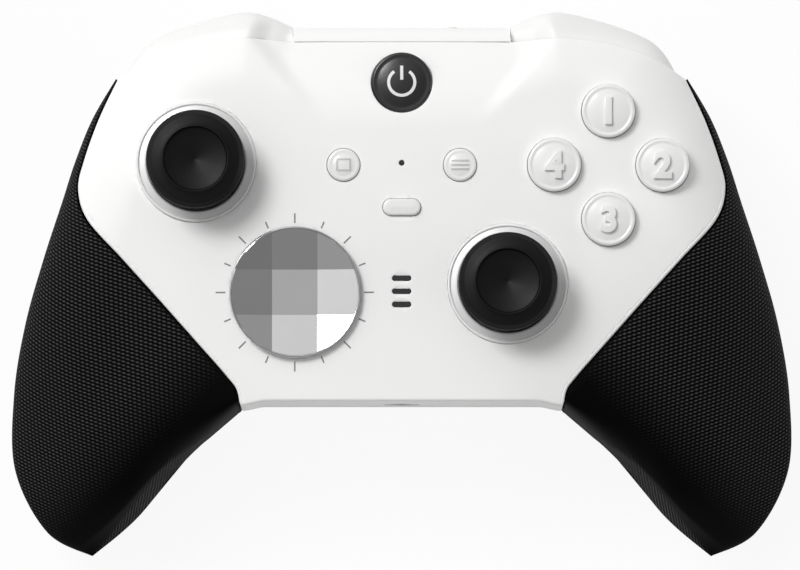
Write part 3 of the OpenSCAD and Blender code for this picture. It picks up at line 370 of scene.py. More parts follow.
# pale grey plastic, a little smoother than the shell: a quiet step in tone
plateGrey = finish("moulded pale grey ABS", {
    "tones": ("#d3d3d2", "#dadad9"), "rough": (0.35, 0.45), "cloud": 8, "grain": 0.3, "bump": 0.12,
    "fixed": {"IOR": 1.53}})
# silver paint over plastic: fine flakes, soft highlight
silverPaint = finish("silver painted ABS", {
    "tones": ("#b4b5b7", "#c4c5c7"), "rough": (0.3, 0.42), "cloud": 4, "grain": 0.15, "bump": 0.1,
    "fixed": {"Metallic": 0.85}})
# polycarbonate tinted dark: deep grey with a clear wet gloss
darkGlass = finish("polished dark polycarbonate", {
    "tones": ("#1c1c1e", "#242426"), "rough": (0.2, 0.28), "cloud": 6, "grain": 1.5, "bump": 0.03,
    "fixed": {"IOR": 1.58}})
# white ink on the dark button: crisp and flat
markWhite = finish("pad printed white ink", {
    "tones": ("#e9e9ea", "#f2f2f2"), "rough": (0.4, 0.5), "cloud": 2, "grain": 0.2, "bump": 0.05,
    "fixed": {"IOR": 1.5}})
# nylon with glass fibre: dark, dry and slightly mottled
frameGrey = finish("glass filled nylon", {
    "tones": ("#4a4a4c", "#545456"), "rough": (0.5, 0.65), "cloud": 10, "grain": 0.4, "bump": 0.3,
    "fixed": {"IOR": 1.53}})
# plain black nylon: dark and dry, for the works
moduleBlack = finish("moulded black nylon", {
    "tones": ("#19191a", "#222223"), "rough": (0.45, 0.6), "cloud": 5, "grain": 0.3, "bump": 0.2,
    "fixed": {"IOR": 1.53}})
# turned and milled acetal: waxy cream, light sinks in a little
acetal = finish("machined acetal", {
    "tones": ("#d8d4c6", "#e2dfd2"), "rough": (0.3, 0.4), "cloud": 4, "grain": 0.3, "bump": 0.1,
    "fixed": {"IOR": 1.48, "Subsurface Weight": 0.05}})
# steel wire and pins, drawn through a die: bright, streaked along X
drawnSteel = finish("drawn spring steel", {
    "tones": ("#b5b6b8", "#c6c7c9"), "rough": (0.2, 0.34), "cloud": 4, "grain": 0.2, "bump": 0.1,
    "stretch": (0.1, 1, 1), "fixed": {"Metallic": 1.0}})
# zinc plating over sheet steel: bluish, with a soft spread highlight
motorSteel = finish("zinc plated steel", {
    "tones": ("#a7a9ac", "#bcbdc0"), "rough": (0.28, 0.42), "cloud": 3, "grain": 0.3, "bump": 0.1,
    "fixed": {"Metallic": 1.0}})
# pressed and sintered metal powder: dull, grainy grey
weightSteel = finish("sintered tungsten alloy", {
    "tones": ("#7c7c7e", "#8d8d8f"), "rough": (0.4, 0.55), "cloud": 2, "grain": 0.2, "bump": 0.3,
    "fixed": {"Metallic": 1.0}})
# thin gold over brass: warm and bright
brass = finish("gold plated brass", {
    "tones": ("#c9a24a", "#dab866"), "rough": (0.2, 0.3), "cloud": 2, "grain": 0.3, "bump": 0.05,
    "fixed": {"Metallic": 1.0}})
# film shrunk round the cells: blue grey, with slight ripples in its shine
batteryWrap = finish("shrunk PVC film", {
    "tones": ("#3a4049", "#464d58"), "rough": (0.3, 0.42), "cloud": 9, "grain": 0.8, "bump": 0.2,
    "fixed": {"IOR": 1.53}})
print("plain finishes made")


def rubberLattice(settings):
    # rubber moulded over the grips: near black, small dashes standing up in slanting rows, every second row
    # shifted by half a dash; they sink into plain rubber near the inner edge, whose wall has upright ribs.
    # The tops of the dashes and ribs are painted a lighter grey, a painted highlight; near the inner edge
    # that painted highlight fades out with the dashes, a painted shade.
    # height = smooth step of (cos of the place across the rows + 0.6 * cos of the place along a row)
    fixed = {"IOR": 1.5, "Specular IOR Level": 0.06}
    material, tree, shader, place = newSurface("moulded black rubber", fixed)

    def math2(operation, first, second=0.0, third=0.0):
        return addNode(tree, "Math", {0: first, 1: second, 2: third}, operation=operation).outputs[0]

    # the piece carries its own map: place on the unrolled rubber in mm, and how far the dashes stand up,
    # which also sets how light their painted highlight is
    unrolled = addNode(tree, "Attribute", {}, attribute_name="lattice").outputs["Vector"]
    upright = addNode(tree, "Attribute", {}, attribute_name="ribs").outputs["Vector"]
    wall = addNode(tree, "SeparateXYZ", {"Vector": upright})
    turn = addNode(tree, "Mapping", {"Vector": unrolled, "Rotation": (0, 0, math.radians(settings["slope"])),
                                     "Scale": (1 / settings["dash"], 1 / settings["row"], 1)})
    lattice = addNode(tree, "SeparateXYZ", {"Vector": turn.outputs[0]})
    along, across, stand = (lattice.outputs[k] for k in "XYZ")
    odd = math2("FLOORED_MODULO", math2("ROUND", across), 2.0)
    shifted = math2("MULTIPLY_ADD", odd, 0.5, along)
    rows = math2("COSINE", math2("MULTIPLY", across, 2 * math.pi))
    beads = math2("COSINE", math2("MULTIPLY", shifted, 2 * math.pi))
    waves = math2("MULTIPLY_ADD", beads, 0.6, rows)
    dashes = addNode(tree, "MapRange", {"Value": waves, "From Min": -0.1, "From Max": 1.4},
                     interpolation_type="SMOOTHSTEP").outputs["Result"]
    wave = math2("COSINE", math2("MULTIPLY", wall.outputs["X"], 2 * math.pi / settings["rib"]))
    ribs = addNode(tree, "MapRange", {"Value": wave, "From Min": -0.2, "From Max": 0.9},
                   interpolation_type="SMOOTHSTEP").outputs["Result"]
    height = math2("ADD", math2("MULTIPLY", dashes, stand), math2("MULTIPLY", ribs, wall.outputs["Y"]))
    grit = addNode(tree, "TexNoise", {"Vector": place, "Scale": perMetre(0.2), "Detail": 2})
    rough = addNode(tree, "MapRange", {"Value": grit.outputs["Fac"], "To Min": 0.68, "To Max": 0.82})
    fine = addNode(tree, "Bump", {"Height": grit.outputs["Fac"], "Strength": 0.12, "Distance": 0.05 * mm})
    relief = addNode(tree, "Bump", {"Height": height, "Strength": 0.9, "Distance": settings["rise"] * mm,
                                    "Normal": fine.outputs["Normal"]})
    # tops of dashes and ribs painted from near black up to mid grey: a painted highlight
    joinPatterns(tree, shader, toned(tree, height, "#020202", "#48484a"), rough, relief)
    return material


def spunSilver():
    # aluminium, blasted and anodised clear: an even grey metal, each facet in its own tone from the lights
    material, tree, shader, place = newSurface("anodised aluminium", {"Metallic": 1.0})
    grain = addNode(tree, "TexNoise", {"Vector": place, "Scale": perMetre(0.25), "Detail": 3})
    cloud = addNode(tree, "TexNoise", {"Vector": place, "Scale": perMetre(9), "Detail": 2})
    rough = addNode(tree, "MapRange", {"Value": grain.outputs["Fac"], "To Min": 0.13, "To Max": 0.18})
    relief = addNode(tree, "Bump", {"Height": grain.outputs["Fac"], "Strength": 0.06, "Distance": 0.03 * mm})
    joinPatterns(tree, shader, toned(tree, cloud.outputs["Fac"], "#d5d5d6", "#dbdbdc"), rough, relief)
    return material


def turnedRing():
    # white ABS whose inner band is silver plated over fine turned grooves: pale to the light, dark away
    # from it; the grooves are drawn at 0.4 mm, coarser than real ones, so that they still show
    material, tree, shader, place = newSurface("silver plated white ABS", {"IOR": 1.53})
    own = addNode(tree, "Attribute", {}, attribute_name="turned").outputs["Vector"]
    split = addNode(tree, "SeparateXYZ", {"Vector": own})
    scratch = addNode(tree, "TexNoise", {"Vector": place, "Scale": perMetre(0.8), "Detail": 2})
    phase = addNode(tree, "Math", {0: split.outputs["X"], 1: 2 * math.pi / 0.4}, operation="MULTIPLY")
    wave = addNode(tree, "Math", {0: phase.outputs[0]}, operation="COSINE")
    grooves = addNode(tree, "Math", {0: wave.outputs[0], 1: split.outputs["Y"]}, operation="MULTIPLY")
    relief = addNode(tree, "Bump", {"Height": grooves.outputs[0], "Strength": 0.3, "Distance": 0.012 * mm})
    rough = addNode(tree, "MapRange", {"Value": scratch.outputs["Fac"], "To Min": 0.34, "To Max": 0.44})
    tree.links.new(split.outputs["Y"], shader.inputs["Metallic"])
    joinPatterns(tree, shader, toned(tree, split.outputs["Y"], "#f4f4f3", "#d2d2d2"), rough, relief)
    return material


def circuitBoard():
    # glass epoxy under green solder mask: dull green with paler copper runs under it
    material, tree, shader, place = newSurface("solder masked glass epoxy", {"IOR": 1.55})
    runs = addNode(tree, "TexBrick", {"Vector": place, "Scale": perMetre(8), "Mortar Size": 0.03, "Bias": 0.0,
                                      "Color1": linear("#0c3f27"), "Color2": linear("#0f4a2d"),
                                      "Mortar": linear("#1c6a41")})
    grain = addNode(tree, "TexNoise", {"Vector": place, "Scale": perMetre(0.6), "Detail": 2})
    rough = addNode(tree, "MapRange", {"Value": grain.outputs["Fac"], "To Min": 0.3, "To Max": 0.45})
    tree.links.new(runs.outputs["Color"], shader.inputs["Base Color"])
    tree.links.new(rough.outputs["Result"], shader.inputs["Roughness"])
    return material


gripRubberPaintedHighlight = rubberLattice({"row": 0.69, "dash": 1.08, "slope": -26, "rib": 0.47, "rise": 0.14})
# silicone rubber on the stick caps: very dark, satin, with a little dust in the grain
stickRubber = finish("moulded silicone rubber", {
    "tones": ("#0b0b0c", "#121213"), "rough": (0.4, 0.5), "cloud": 5, "grain": 0.25, "bump": 0.2,
    "fixed": {"IOR": 1.45, "Specular IOR Level": 0.2}})
ringSilver = turnedRing()
discSilver = spunSilver()
boardGreen = circuitBoard()
print("patterned finishes made")

# the case: lines in plan for the right half, and the heights worked out from them
case = {"wall": 2.2, "lip": 1.2, "seam": 0.3, "lowerY": 24.2, "faceH": 44, "browY": 47.6, "faceRoll": 15,
        "backRoll": 12, "innerRoll": 11, "edge": 0.4, "holeEdge": 0.2, "discLedge": 1.9, "lowerEdge": 0.6,
        "panel": 2.2}
frontLine = [[56.6, 40.3], [60.3, 32.4], [63.2, 24.3], [64.4, 18.4], [62.4, 12], [55.4, 4.1], [48, -4.1],
             [41, -12], [36.2, -17.4], [34.1, -19.9], [33, -21.3], [32.5, -22.6], [32.2, -24.2]]
rimOuter = [[57, 40.7], [61.7, 32.8], [65.2, 24.3], [67.8, 16.4], [71.6, 5], [75.3, -8], [77.6, -22],
            [77.4, -37], [71, -49.3], [62, -54]]
rimInner = [[62, -54], [53, -46.4], [43.4, -35], [32.5, -25.2]]
rearLine = [[55, 40.2], [54.7, 36.6], [54, 28], [52.4, 19], [49.4, 11.5], [44.6, 4], [40, -3], [36.6, -9.5],
            [34.2, -14.5], [32.9, -18], [32.3, -20.5], [32, -22.5], [31.9, -24.2]]
shelfLine = [[21.7, 47.6], [27, 48], [32, 48.2], [38, 47.7], [44, 46.5], [49.3, 44.7], [53.2, 42.5]]
crestLine = [[21.7, 50.8], [25.5, 52.6], [30.6, 54], [37, 52.8], [44, 50.7], [50.4, 47.8], [55, 43.4]]
outerPath = np.vstack([[[0, 50.8]], spline(crestLine, 10), spline(rimOuter, 12)])
innerPath = spline(rimInner, 16)


def halfPlane(p):
    return np.stack([np.abs(p[:, 0]), p[:, 1]], 1)


def rimH(p):  # the widest line of the case falls from the shoulders to the grips' tips
    return 23 + 0.18 * p[:, 1]


def homePanel(p):  # shallow recess round the home button, wider and deeper towards the upper edge
    edge = 16.5 + (p[:, 1] - 31.5) * 0.78
    return case["panel"] * ease(30, 49, p[:, 1]) * (1 - ease(edge - 3, edge + 1.5, np.abs(p[:, 0])))


def faceZ(p):  # crowned face that rolls down to the rim within one radius
    x, y = np.abs(p[:, 0]), p[:, 1]
    beyond = (x - 48) * 0.746 - (y + 3) * 0.667
    crown = (case["faceH"] - 0.0006 * x**2 - 0.0068 * np.maximum(0, beyond + 10) ** 2
             - 0.0012 * np.maximum(0, y - 20) ** 2 - homePanel(p))
    return rimH(p) + (crown - rimH(p)) * roll(distTo(outerPath, halfPlane(p)) / case["faceRoll"], 2.2)


def faceAt(place):
    return faceZ(np.array([place]))[0]


def innerShare(p):
    share = ease(30, 50, np.abs(p[:, 0]))
    radius = 2 + (case["innerRoll"] - 2) * share
    power = 5 - 2.6 * share
    band = 0.05 + 2.8 * ease(37, 54, np.abs(p[:, 0]))  # flat inner wall up to a crease
    d = distTo(innerPath, halfPlane(p))
    return np.where(d < band, roll(band / radius, power) * d / band, roll(d / radius, power))


def backZ(p):  # level bulge in the middle, a grip on each side, rolled up to the rim
    x, y = np.abs(p[:, 0]), p[:, 1]
    middle = 0.3 + 0.0105 * np.maximum(0, 8 - y) ** 2 + 0.012 * np.maximum(0, y - 32) ** 2
    crown = middle + (0.003 * (y + 32) ** 2 - middle) * ease(24, 52, x)
    return rimH(p) - (rimH(p) - crown) * roll(distTo(outerPath, halfPlane(p)) / case["backRoll"], 2.2)


def gripFrontZ(p):
    return rimH(p) + (faceZ(p) - rimH(p)) * innerShare(p)


def gripBackZ(p):
    return rimH(p) - (rimH(p) - backZ(p)) * innerShare(p)


def towards(p, target, distance):
    step = np.asarray(target) - p
    return p + step * distance / np.linalg.norm(step, axis=1)[:, None]


def bothHalves(half, bottom):  # right half from the top down, the lower edge, then the left half back up
    left = half[::-1] * [-1, 1]
    return np.vstack([half, bottom, left[:-1]])


def lowerEdge(count, reach, sag):  # lower edge from right to left; its ends bend down to the grips
    x = np.linspace(reach, -reach, count)
    return np.stack([x, -case["lowerY"] - sag * ease(26.5, 32.2, np.abs(x))], 1)


# openings of the face: middle, half length and half width
play, flange = 0.1, 0.7
roundButtons = ["button_north", "button_east", "button_south", "button_west", "view_button", "menu_button",
                "home_button"]
sticks = ["left_stick", "right_stick"]
faceHoles = [(planOf(name), halfWidthOf(name) - flange + play) for name in roundButtons]
faceHoles += [(planOf(name + "_ring"), halfWidthOf(name + "_ring") + 0.06) for name in sticks]
faceHoles += [(planOf("direction_disc"), halfWidthOf("direction_disc") - 0.12)]
faceHoles += [(planOf("status_light"), halfWidthOf("status_light") + 0.05)]
faceHoles = [(centre, radius, radius) for centre, radius in faceHoles]
pill = {"halfL": halfWidthOf("profile_button") - flange, "halfW": 1.65, "rise": 1}
light = {"halfL": 1.85, "halfW": 0.5, "pitch": 2.6}
faceHoles += [(planOf("profile_button"), pill["halfL"] + play, pill["halfW"] + play)]
lightPlaces = [planOf("profile_lights") + [0, k * light["pitch"]] for k in (-1, 0, 1)]
faceHoles += [(place, light["halfL"] + 0.05, light["halfW"] + 0.05) for place in lightPlaces]


def frontShell():
    # outer face over the plan, inner face inset by the wall, hole walls, steep lower wall with its jack hole
    shell = {"fine": 0.9, "coarse": 3, "groove": 0.13, "grooveAt": 0.62, "grooveHalf": 0.11, "thinFrom": 40.4,
             "seat": 0.7, "seatWidth": 0.8, "ledgeR": 11.9, "ledge": 0.3, "jackZ": 27.4, "jackR": 3.6}
    low, high = [-66, -26], [66, 49]
    top = [[0, case["browY"]], [12, case["browY"]], *shelfLine[:6], [53.6, 42.3], [56.6, 40.3]]
    half = np.vstack([spline(top, 8)[:-1], spline(frontLine, 8)])
    bottom = lowerEdge(65, 31.9, 0.9)
    outline = bothHalves(half, bottom)
    n, nHalf, nBottom = len(outline), len(half), len(bottom)
    seamPath = np.vstack([outline[nHalf + nBottom:], half])
    steps = np.array([0.04, 0.12, 0.25, 0.4, 0.5, 0.56, 0.62, 0.68, 0.74, 0.9])

    def outerZ(p):
        lowest = np.interp(p[:, 0], bottom[::-1, 0], bottom[::-1, 1])
        z = faceZ(p) - edgeDrop(p[:, 1] - lowest, case["lowerEdge"])
        for hole in faceHoles:
            z = z - edgeDrop(np.maximum(pastPill(p, *hole), 0), min(case["holeEdge"], hole[2] / 3))
        radius = case["edge"] * (1 - 0.75 * ease(45, 47, p[:, 1]) * (1 - ease(19, 22, np.abs(p[:, 0]))))
        d = distTo(seamPath, p)
        groove = shell["groove"] * np.maximum(0, 1 - np.abs(d - shell["grooveAt"]) / shell["grooveHalf"])
        groove = groove * (1 - ease(37, 40, p[:, 1]))
        return z - np.where(p[:, 1] < lowest + 0.01, 0, edgeDrop(d, radius) + groove)

    rings = [pillLoop(c, l + s, w + s, 72) for c, l, w in faceHoles for s in (0.02, 0.06, 0.12, 0.2)]
    lowRows = [bottom + [0, s] for s in (0.05, 0.16, 0.32, 0.6)]
    grid = hexGrid(low, high, shell["fine"])
    grid = grid[distTo(closed(outline), grid) > 1.2]
    inner = np.vstack([insetLoops(outline, steps), *rings, *lowRows, grid])
    loops = [pillLoop(c, l, w, 72) for c, l, w in faceHoles]
    plan, faces = fillPlan(outline, loops, inner, 0.02)
    outer = np.column_stack([plan, outerZ(plan)])

    insetLine = towards(outline, [0, 12], case["wall"])
    isSeat = [11.9 < w < 12.5 for _, _, w in faceHoles]  # a stick ring lies on a flat seat
    lowLoops = [pillLoop(c, l - shell["seatWidth"] * seat, w - shell["seatWidth"] * seat, 72)
                for (c, l, w), seat in zip(faceHoles, isSeat)]
    planLow, facesLow = fillPlan(insetLine, lowLoops, hexGrid(low, high, shell["coarse"]), 0.5)
    nearShelf = ease(0, 8, distTo(np.array(shelfLine), halfPlane(planLow)))
    thicker = (case["wall"] - case["lip"]) * nearShelf
    under = np.column_stack([planLow, faceZ(planLow) - case["lip"] - thicker])
    isBottom = np.zeros(n, bool)
    isBottom[nHalf:nHalf + nBottom] = True
    lowZ = np.where(isBottom, rimH(outline) + case["seam"] / 2,
                    outer[:n, 2] - np.where(outline[:, 1] > shell["thinFrom"], case["lip"], case["wall"]))
    lowRing = np.column_stack([outline, lowZ])
    lowInset = np.column_stack([insetLine, lowZ])
    parts = [(outer, faces.tolist()), (under, facesLow.tolist())]
    around = np.arange(n)
    sides = gridFaces(2, n, closeCols=True)
    seamSides = sides[~(isBottom[around] & isBottom[np.roll(around, -1)])]
    parts += [(np.vstack([outer[:n], lowRing]), seamSides.tolist()),
              (np.vstack([lowRing, lowInset]), sides.tolist()),
              (np.vstack([lowInset, under[:n]]), seamSides.tolist())]
    start, startLow = n, n
    for loop, lowLoop, hole, seat in zip(loops, lowLoops, faceHoles, isSeat):
        count = len(loop)
        upper, lower = outer[start:start + count], under[startLow:startLow + count]
        rows = [upper, lower]
        if seat:
            seatZ = faceAt(hole[0]) - shell["seat"]
            rows = [upper, atLevel(loop, seatZ), atLevel(lowLoop, seatZ), lower]
        if hole[2] > 12.5:  # narrow ledge under the disc's edge
            ledge = pillLoop(hole[0], shell["ledgeR"], shell["ledgeR"], count)
            ledgeZ = upper[:, 2] - case["discLedge"]
            rows = [upper, np.column_stack([loop, ledgeZ]), np.column_stack([ledge, ledgeZ]),
                    np.column_stack([ledge, ledgeZ - shell["ledge"]]), lower]
        parts.append(gridPart(np.stack(rows), closeCols=True))
        start, startLow = start + count, startLow + count
    # steep lower wall, filled in (x, z) round the jack hole
    jack = pillLoop([0, shell["jackZ"]], shell["jackR"], shell["jackR"], 48)
    for ring, lower in ((outer[:n], lowRing), (under[:n], lowInset)):
        edgeUp, edgeDown = ring[isBottom], lower[isBottom]
        loop = np.vstack([edgeUp[:, [0, 2]], edgeDown[::-1][:, [0, 2]]])
        wallPlan, wallFaces = fillPlan(loop, [jack], hexGrid([-33, 17], [33, 45], 2), 0.4)
        y = np.interp(wallPlan[:, 0], edgeUp[::-1, 0], edgeUp[::-1, 1])
        wallPoints = np.column_stack([wallPlan[:, 0], y, wallPlan[:, 1]])
        wallPoints[:len(loop)] = np.vstack([edgeUp, edgeDown[::-1]])
        parts.append((wallPoints, wallFaces.tolist()))
    tube = [np.column_stack([jack[:, 0], np.interp(jack[:, 0], line[::-1, 0], line[::-1, 1]), jack[:, 1]])
            for line in (bottom, under[:n][isBottom])]
    parts.append(gridPart(np.stack(tube), closeCols=True))
    addPiece("frontShell", parts, "case", "white_plastic", whiteAbs, ["front_shell"])


frontShell()
print("front shell made")


def rearShell():
    # outer face over its plan with wells, slider pockets and dock recess, walls up to the seam, inner face
    low, high = [-58, -25], [58, 50]
    corner = np.array([[0, 49.6], [10, 49.6], [19.5, 49.6], [20.9, 49.0], [21.5, 47.6], [21.5, 42],
                       [21.5, 36.6], [30, 36.6], [38, 36.6], [46, 36.6]])
    pieces = [np.linspace(a, b, max(2, int(np.linalg.norm(b - a) / 1.4)), endpoint=False)
              for a, b in zip(corner[:-1], corner[1:])]
    joint = np.linspace(corner[-1], rearLine[1], 7, endpoint=False)
    half = np.vstack([*pieces, joint, splineAt(rearLine, np.arange(8, 97) / 8)])
    bottom = lowerEdge(65, 31.7, 0)
    outline = bothHalves(half, bottom)
    n, nHalf, nBottom = len(outline), len(half), len(bottom)
    isBottom = np.zeros(n, bool)
    isBottom[nHalf:nHalf + nBottom] = True
    seamPath = np.vstack([outline[nHalf + nBottom:], half])
    steps = case["edge"] * (1 - np.cos(np.radians([30, 60, 90])))
    well = {"r": 2.1, "boreR": 1.15, "bossR": 2.8, "floor": 14, "top": 19.3}
    wells = [np.array([s * x, y]) for s in (1, -1) for x, y in ((19, 29.6), (9.5, -17.5))]
    pocket = {"halfW": 3.0, "halfL": 6.2, "floor": 3.0, "slotW": 1.4, "slotL": 3.9, "top": 4.4, "trackW": 4.6,
              "trackL": 6.9, "round": 0.5}
    pockets = [np.array([s * 26.5, 27.5]) for s in (1, -1)]
    dock = {"centre": np.array([0, 19.0]), "halfL": 14.2, "halfW": 8.2, "floor": 1.6}

    def boxLoop(centre, halfW, halfL):  # upright box with rounded corners
        radius = pocket["round"]
        a = np.linspace(0, 2 * np.pi, 48, endpoint=False) + np.pi / 48
        x = np.where(np.cos(a) > 0, 1, -1) * (halfW - radius) + radius * np.cos(a)
        y = np.where(np.sin(a) > 0, 1, -1) * (halfL - radius) + radius * np.sin(a)
        return np.stack([centre[0] + x, centre[1] + y], 1)

    def plainZ(p):  # the back, turned up towards its lower edge
        return backZ(p) + 5 * (1 - roll((p[:, 1] + case["lowerY"]) / 7, 2))

    def outerZ(p):
        z = plainZ(p)
        for centre in wells:
            z = z + edgeDrop(np.maximum(pastPill(p, centre, well["r"], well["r"]), 0), 0.3)
        z = z + edgeDrop(np.maximum(pastPill(p, dock["centre"], dock["halfL"], dock["halfW"]), 0), 0.3)
        return z + np.where(p[:, 1] < 0.01 - case["lowerY"], 0, edgeDrop(distTo(seamPath, p), case["edge"]))

    wellLoops = [pillLoop(c, well["r"], well["r"], 48) for c in wells]
    pocketLoops = [boxLoop(c, pocket["halfW"], pocket["halfL"]) for c in pockets]
    dockLoop = pillLoop(dock["centre"], dock["halfL"], dock["halfW"], 96)
    loops = [*wellLoops, *pocketLoops, dockLoop]
    rings = [pillLoop(c, well["r"] + s, well["r"] + s, 48) for c in wells for s in (0.1, 0.3)]
    rings += [pillLoop(dock["centre"], dock["halfL"] + s, dock["halfW"] + s, 96) for s in (0.1, 0.3)]
    lowRows = [bottom + [0, s] for s in (0.15, 0.4, 0.8, 1.4, 2.2, 3.2, 4.4, 5.6, 7)]
    inner = np.vstack([insetLoops(outline, steps), *rings, *lowRows, hexGrid(low, high, 1.1)])
    plan, faces = fillPlan(outline, loops, inner, 0.03)
    outer = np.column_stack([plan, outerZ(plan)])

    insetLine = towards(outline, [0, 6], case["wall"])
    bossLoops = [pillLoop(c, well["bossR"], well["bossR"], 48) for c in wells]
    trackLoops = [boxLoop(c, pocket["trackW"], pocket["trackL"]) for c in pockets]
    lowLoops = [*bossLoops, *trackLoops]
    planLow, facesLow = fillPlan(insetLine, lowLoops, hexGrid(low, high, 3), 0.5)
    under = np.column_stack([planLow, plainZ(planLow) + case["wall"]])
    atBay = (outline[:, 1] > 36.5) & (np.abs(outline[:, 0]) < 53)
    topZ = np.where(isBottom, rimH(outline) - case["seam"] / 2,
                    np.where(atBay, well["top"], outer[:n, 2] + case["wall"]))
    rows = [outer[:n], np.column_stack([outline, topZ]), np.column_stack([insetLine, topZ]), under[:n]]
    parts = [(outer, faces.tolist()), (under, facesLow.tolist()), gridPart(np.stack(rows), closeCols=True)]
    start, startLow = n, n
    for k, loop in enumerate(loops):
        count = len(loop)
        ring = outer[start:start + count]
        start += count
        if k == len(loops) - 1:  # dock recess: a wall and a level floor
            floor = atLevel(loop, dock["floor"])
            middle = atLevel(np.repeat(dock["centre"][None], count, 0), dock["floor"])
            parts.append(gridPart(np.stack([ring, floor, middle]), closeCols=True))
            continue
        back = under[startLow:startLow + count]
        startLow += count
        if k < len(wells):  # screw well in its boss
            levels = [(well["r"], well["floor"]), (well["boreR"], well["floor"]),
                      (well["boreR"], well["top"]), (well["bossR"], well["top"])]
            walls = [atLevel(pillLoop(wells[k], r, r, count), z) for r, z in levels]
        else:  # slider pocket, its slot and the track behind it
            centre = pockets[k - len(wells)]
            sizes = [(pocket["halfW"], pocket["halfL"], pocket["floor"]),
                     (pocket["slotW"], pocket["slotL"], pocket["floor"]),
                     (pocket["slotW"], pocket["slotL"], pocket["top"]),
                     (pocket["trackW"], pocket["trackL"], pocket["top"])]
            walls = [atLevel(boxLoop(centre, w, l), z) for w, l, z in sizes]
        parts.append(gridPart(np.stack([ring, *walls, back]), closeCols=True))
    addPiece("rearShell", parts, "case", "white_plastic", whiteAbs, ["rear_shell"])


rearShell()
print("rear shell made")


def gripParts():
    # sections from the front seam over the rim to the seam behind, then home along the inside.
    # a place on a section = seam point + (rim point - seam point) * sin of an angle, so rows crowd at the rim
    count, nFront, nBack, nIn = 260, 64, 44, 10
    grip = {"wall": 2.4, "edge": 0.5, "creaseBand": 2.7}
    u = np.linspace(0, len(frontLine) - 1, count)
    tip = len(rimOuter) - 1
    edge = np.where((u <= tip)[:, None], splineAt(rimOuter, np.minimum(u, tip)),
                    splineAt(rimInner, np.maximum(u - tip, 0)))
    zEdge = rimH(edge)
    front = towards(splineAt(frontLine, u), edge, case["seam"])
    back = towards(splineAt(rearLine, u), edge, case["seam"])

    def sheet(line, heightAt, n):
        s = np.sin(np.linspace(0, np.pi / 2, n))
        plan = line[:, None] + (edge - line)[:, None] * s[None, :, None]
        return plan, heightAt(plan.reshape(-1, 2)).reshape(count, n)

    outerF, zF = sheet(front, gripFrontZ, nFront)
    outerB, zB = sheet(back, gripBackZ, nBack)
    zF[:, -1] = zEdge
    zB[:, -1] = zEdge
    seamF = np.linalg.norm(outerF - front[:, None], axis=-1)
    seamB = np.linalg.norm(outerB - back[:, None], axis=-1)
    zF = zF - edgeDrop(seamF, grip["edge"])
    zB = zB + edgeDrop(seamB, grip["edge"])

    def lining(line, outerZ, n):
        width = np.linalg.norm(edge - line, axis=1)
        shareXY = np.maximum(0.15, 1 - grip["wall"] / width)
        shareZ = np.maximum(0.2, 1 - grip["wall"] / np.abs(outerZ[:, 0] - zEdge))
        pick = np.linspace(0, outerZ.shape[1] - 1, n).round().astype(int)
        s = np.sin(np.linspace(0, np.pi / 2, outerZ.shape[1]))[pick]
        plan = line[:, None] + (edge - line)[:, None] * s[None, :, None] * shareXY[:, None, None]
        return plan, zEdge[:, None] + (outerZ[:, pick] - zEdge[:, None]) * shareZ[:, None]

    innerF, zInF = lining(front, zF, nIn)
    innerB, zInB = lining(back, zB, nIn)
    loop = np.concatenate([np.dstack([outerF, zF]), np.dstack([outerB, zB])[:, -2::-1],
                           np.dstack([innerB, zInB]), np.dstack([innerF, zInF])[:, -2::-1]], axis=1)

    def unrolled(line, plan, z):  # seam point + direction to the rim * distance travelled over the surface
        travel = np.linalg.norm(np.diff(np.dstack([plan, z]), axis=1), axis=-1).cumsum(axis=1)
        travel = np.hstack([np.zeros((count, 1)), travel])
        step = (edge - line) / np.linalg.norm(edge - line, axis=1)[:, None]
        flat = line[:, None] + step[:, None] * travel[:, :, None]
        return flat, np.clip(travel / 0.6, 0, 1) * np.clip((travel[:, -1:] - travel) / 0.4, 0, 1)

    flatF, standAndShadeF = unrolled(front, outerF, zF)
    flatB, standB = unrolled(back, outerB, zB)
    # the dashes, and with them their painted highlight, fade out towards the inner edge: a painted shade
    inward = (outerF[..., 0] - 32.5) * 0.699 + (outerF[..., 1] + 25.2) * 0.715
    standAndShadeF = standAndShadeF * ease(5, 20, inward)
    toInner = distTo(innerPath, outerF.reshape(-1, 2)).reshape(count, nFront)
    onWall = np.clip((grip["creaseBand"] - toInner) / 0.3, 0, 1)
    onWall = onWall * ease(42, 52, outerF[..., 0]) * ease(tip - 0.1, tip + 0.3, u)[:, None]
    hidden = np.zeros((count, loop.shape[1] - nFront - nBack + 1, 3))
    lattice = np.concatenate([np.dstack([flatF, standAndShadeF]), np.dstack([flatB, standB])[:, -2::-1], hidden],
                             axis=1)
    ribs = np.zeros_like(lattice)
    ribs[:, :nFront, 0] = outerF @ [0.97, 0.25]  # the ribs stand nearly upright in the front view
    ribs[:, :nFront, 1] = onWall
    verts, faces = tubePart(loop)
    widest = boxOf("right_grip")[1][0]  # the curve stays inside the solid's box
    verts = np.minimum(verts, [widest, np.inf, np.inf])
    return [(verts, faces)], {"lattice": lattice.reshape(-1, 3), "ribs": ribs.reshape(-1, 3)}


rightGrip, gripMaps = gripParts()
addPair("Grip", "grip", False, rightGrip, "grip_rubber", gripRubberPaintedHighlight, sharp=50, maps=gripMaps)
print("grips made")


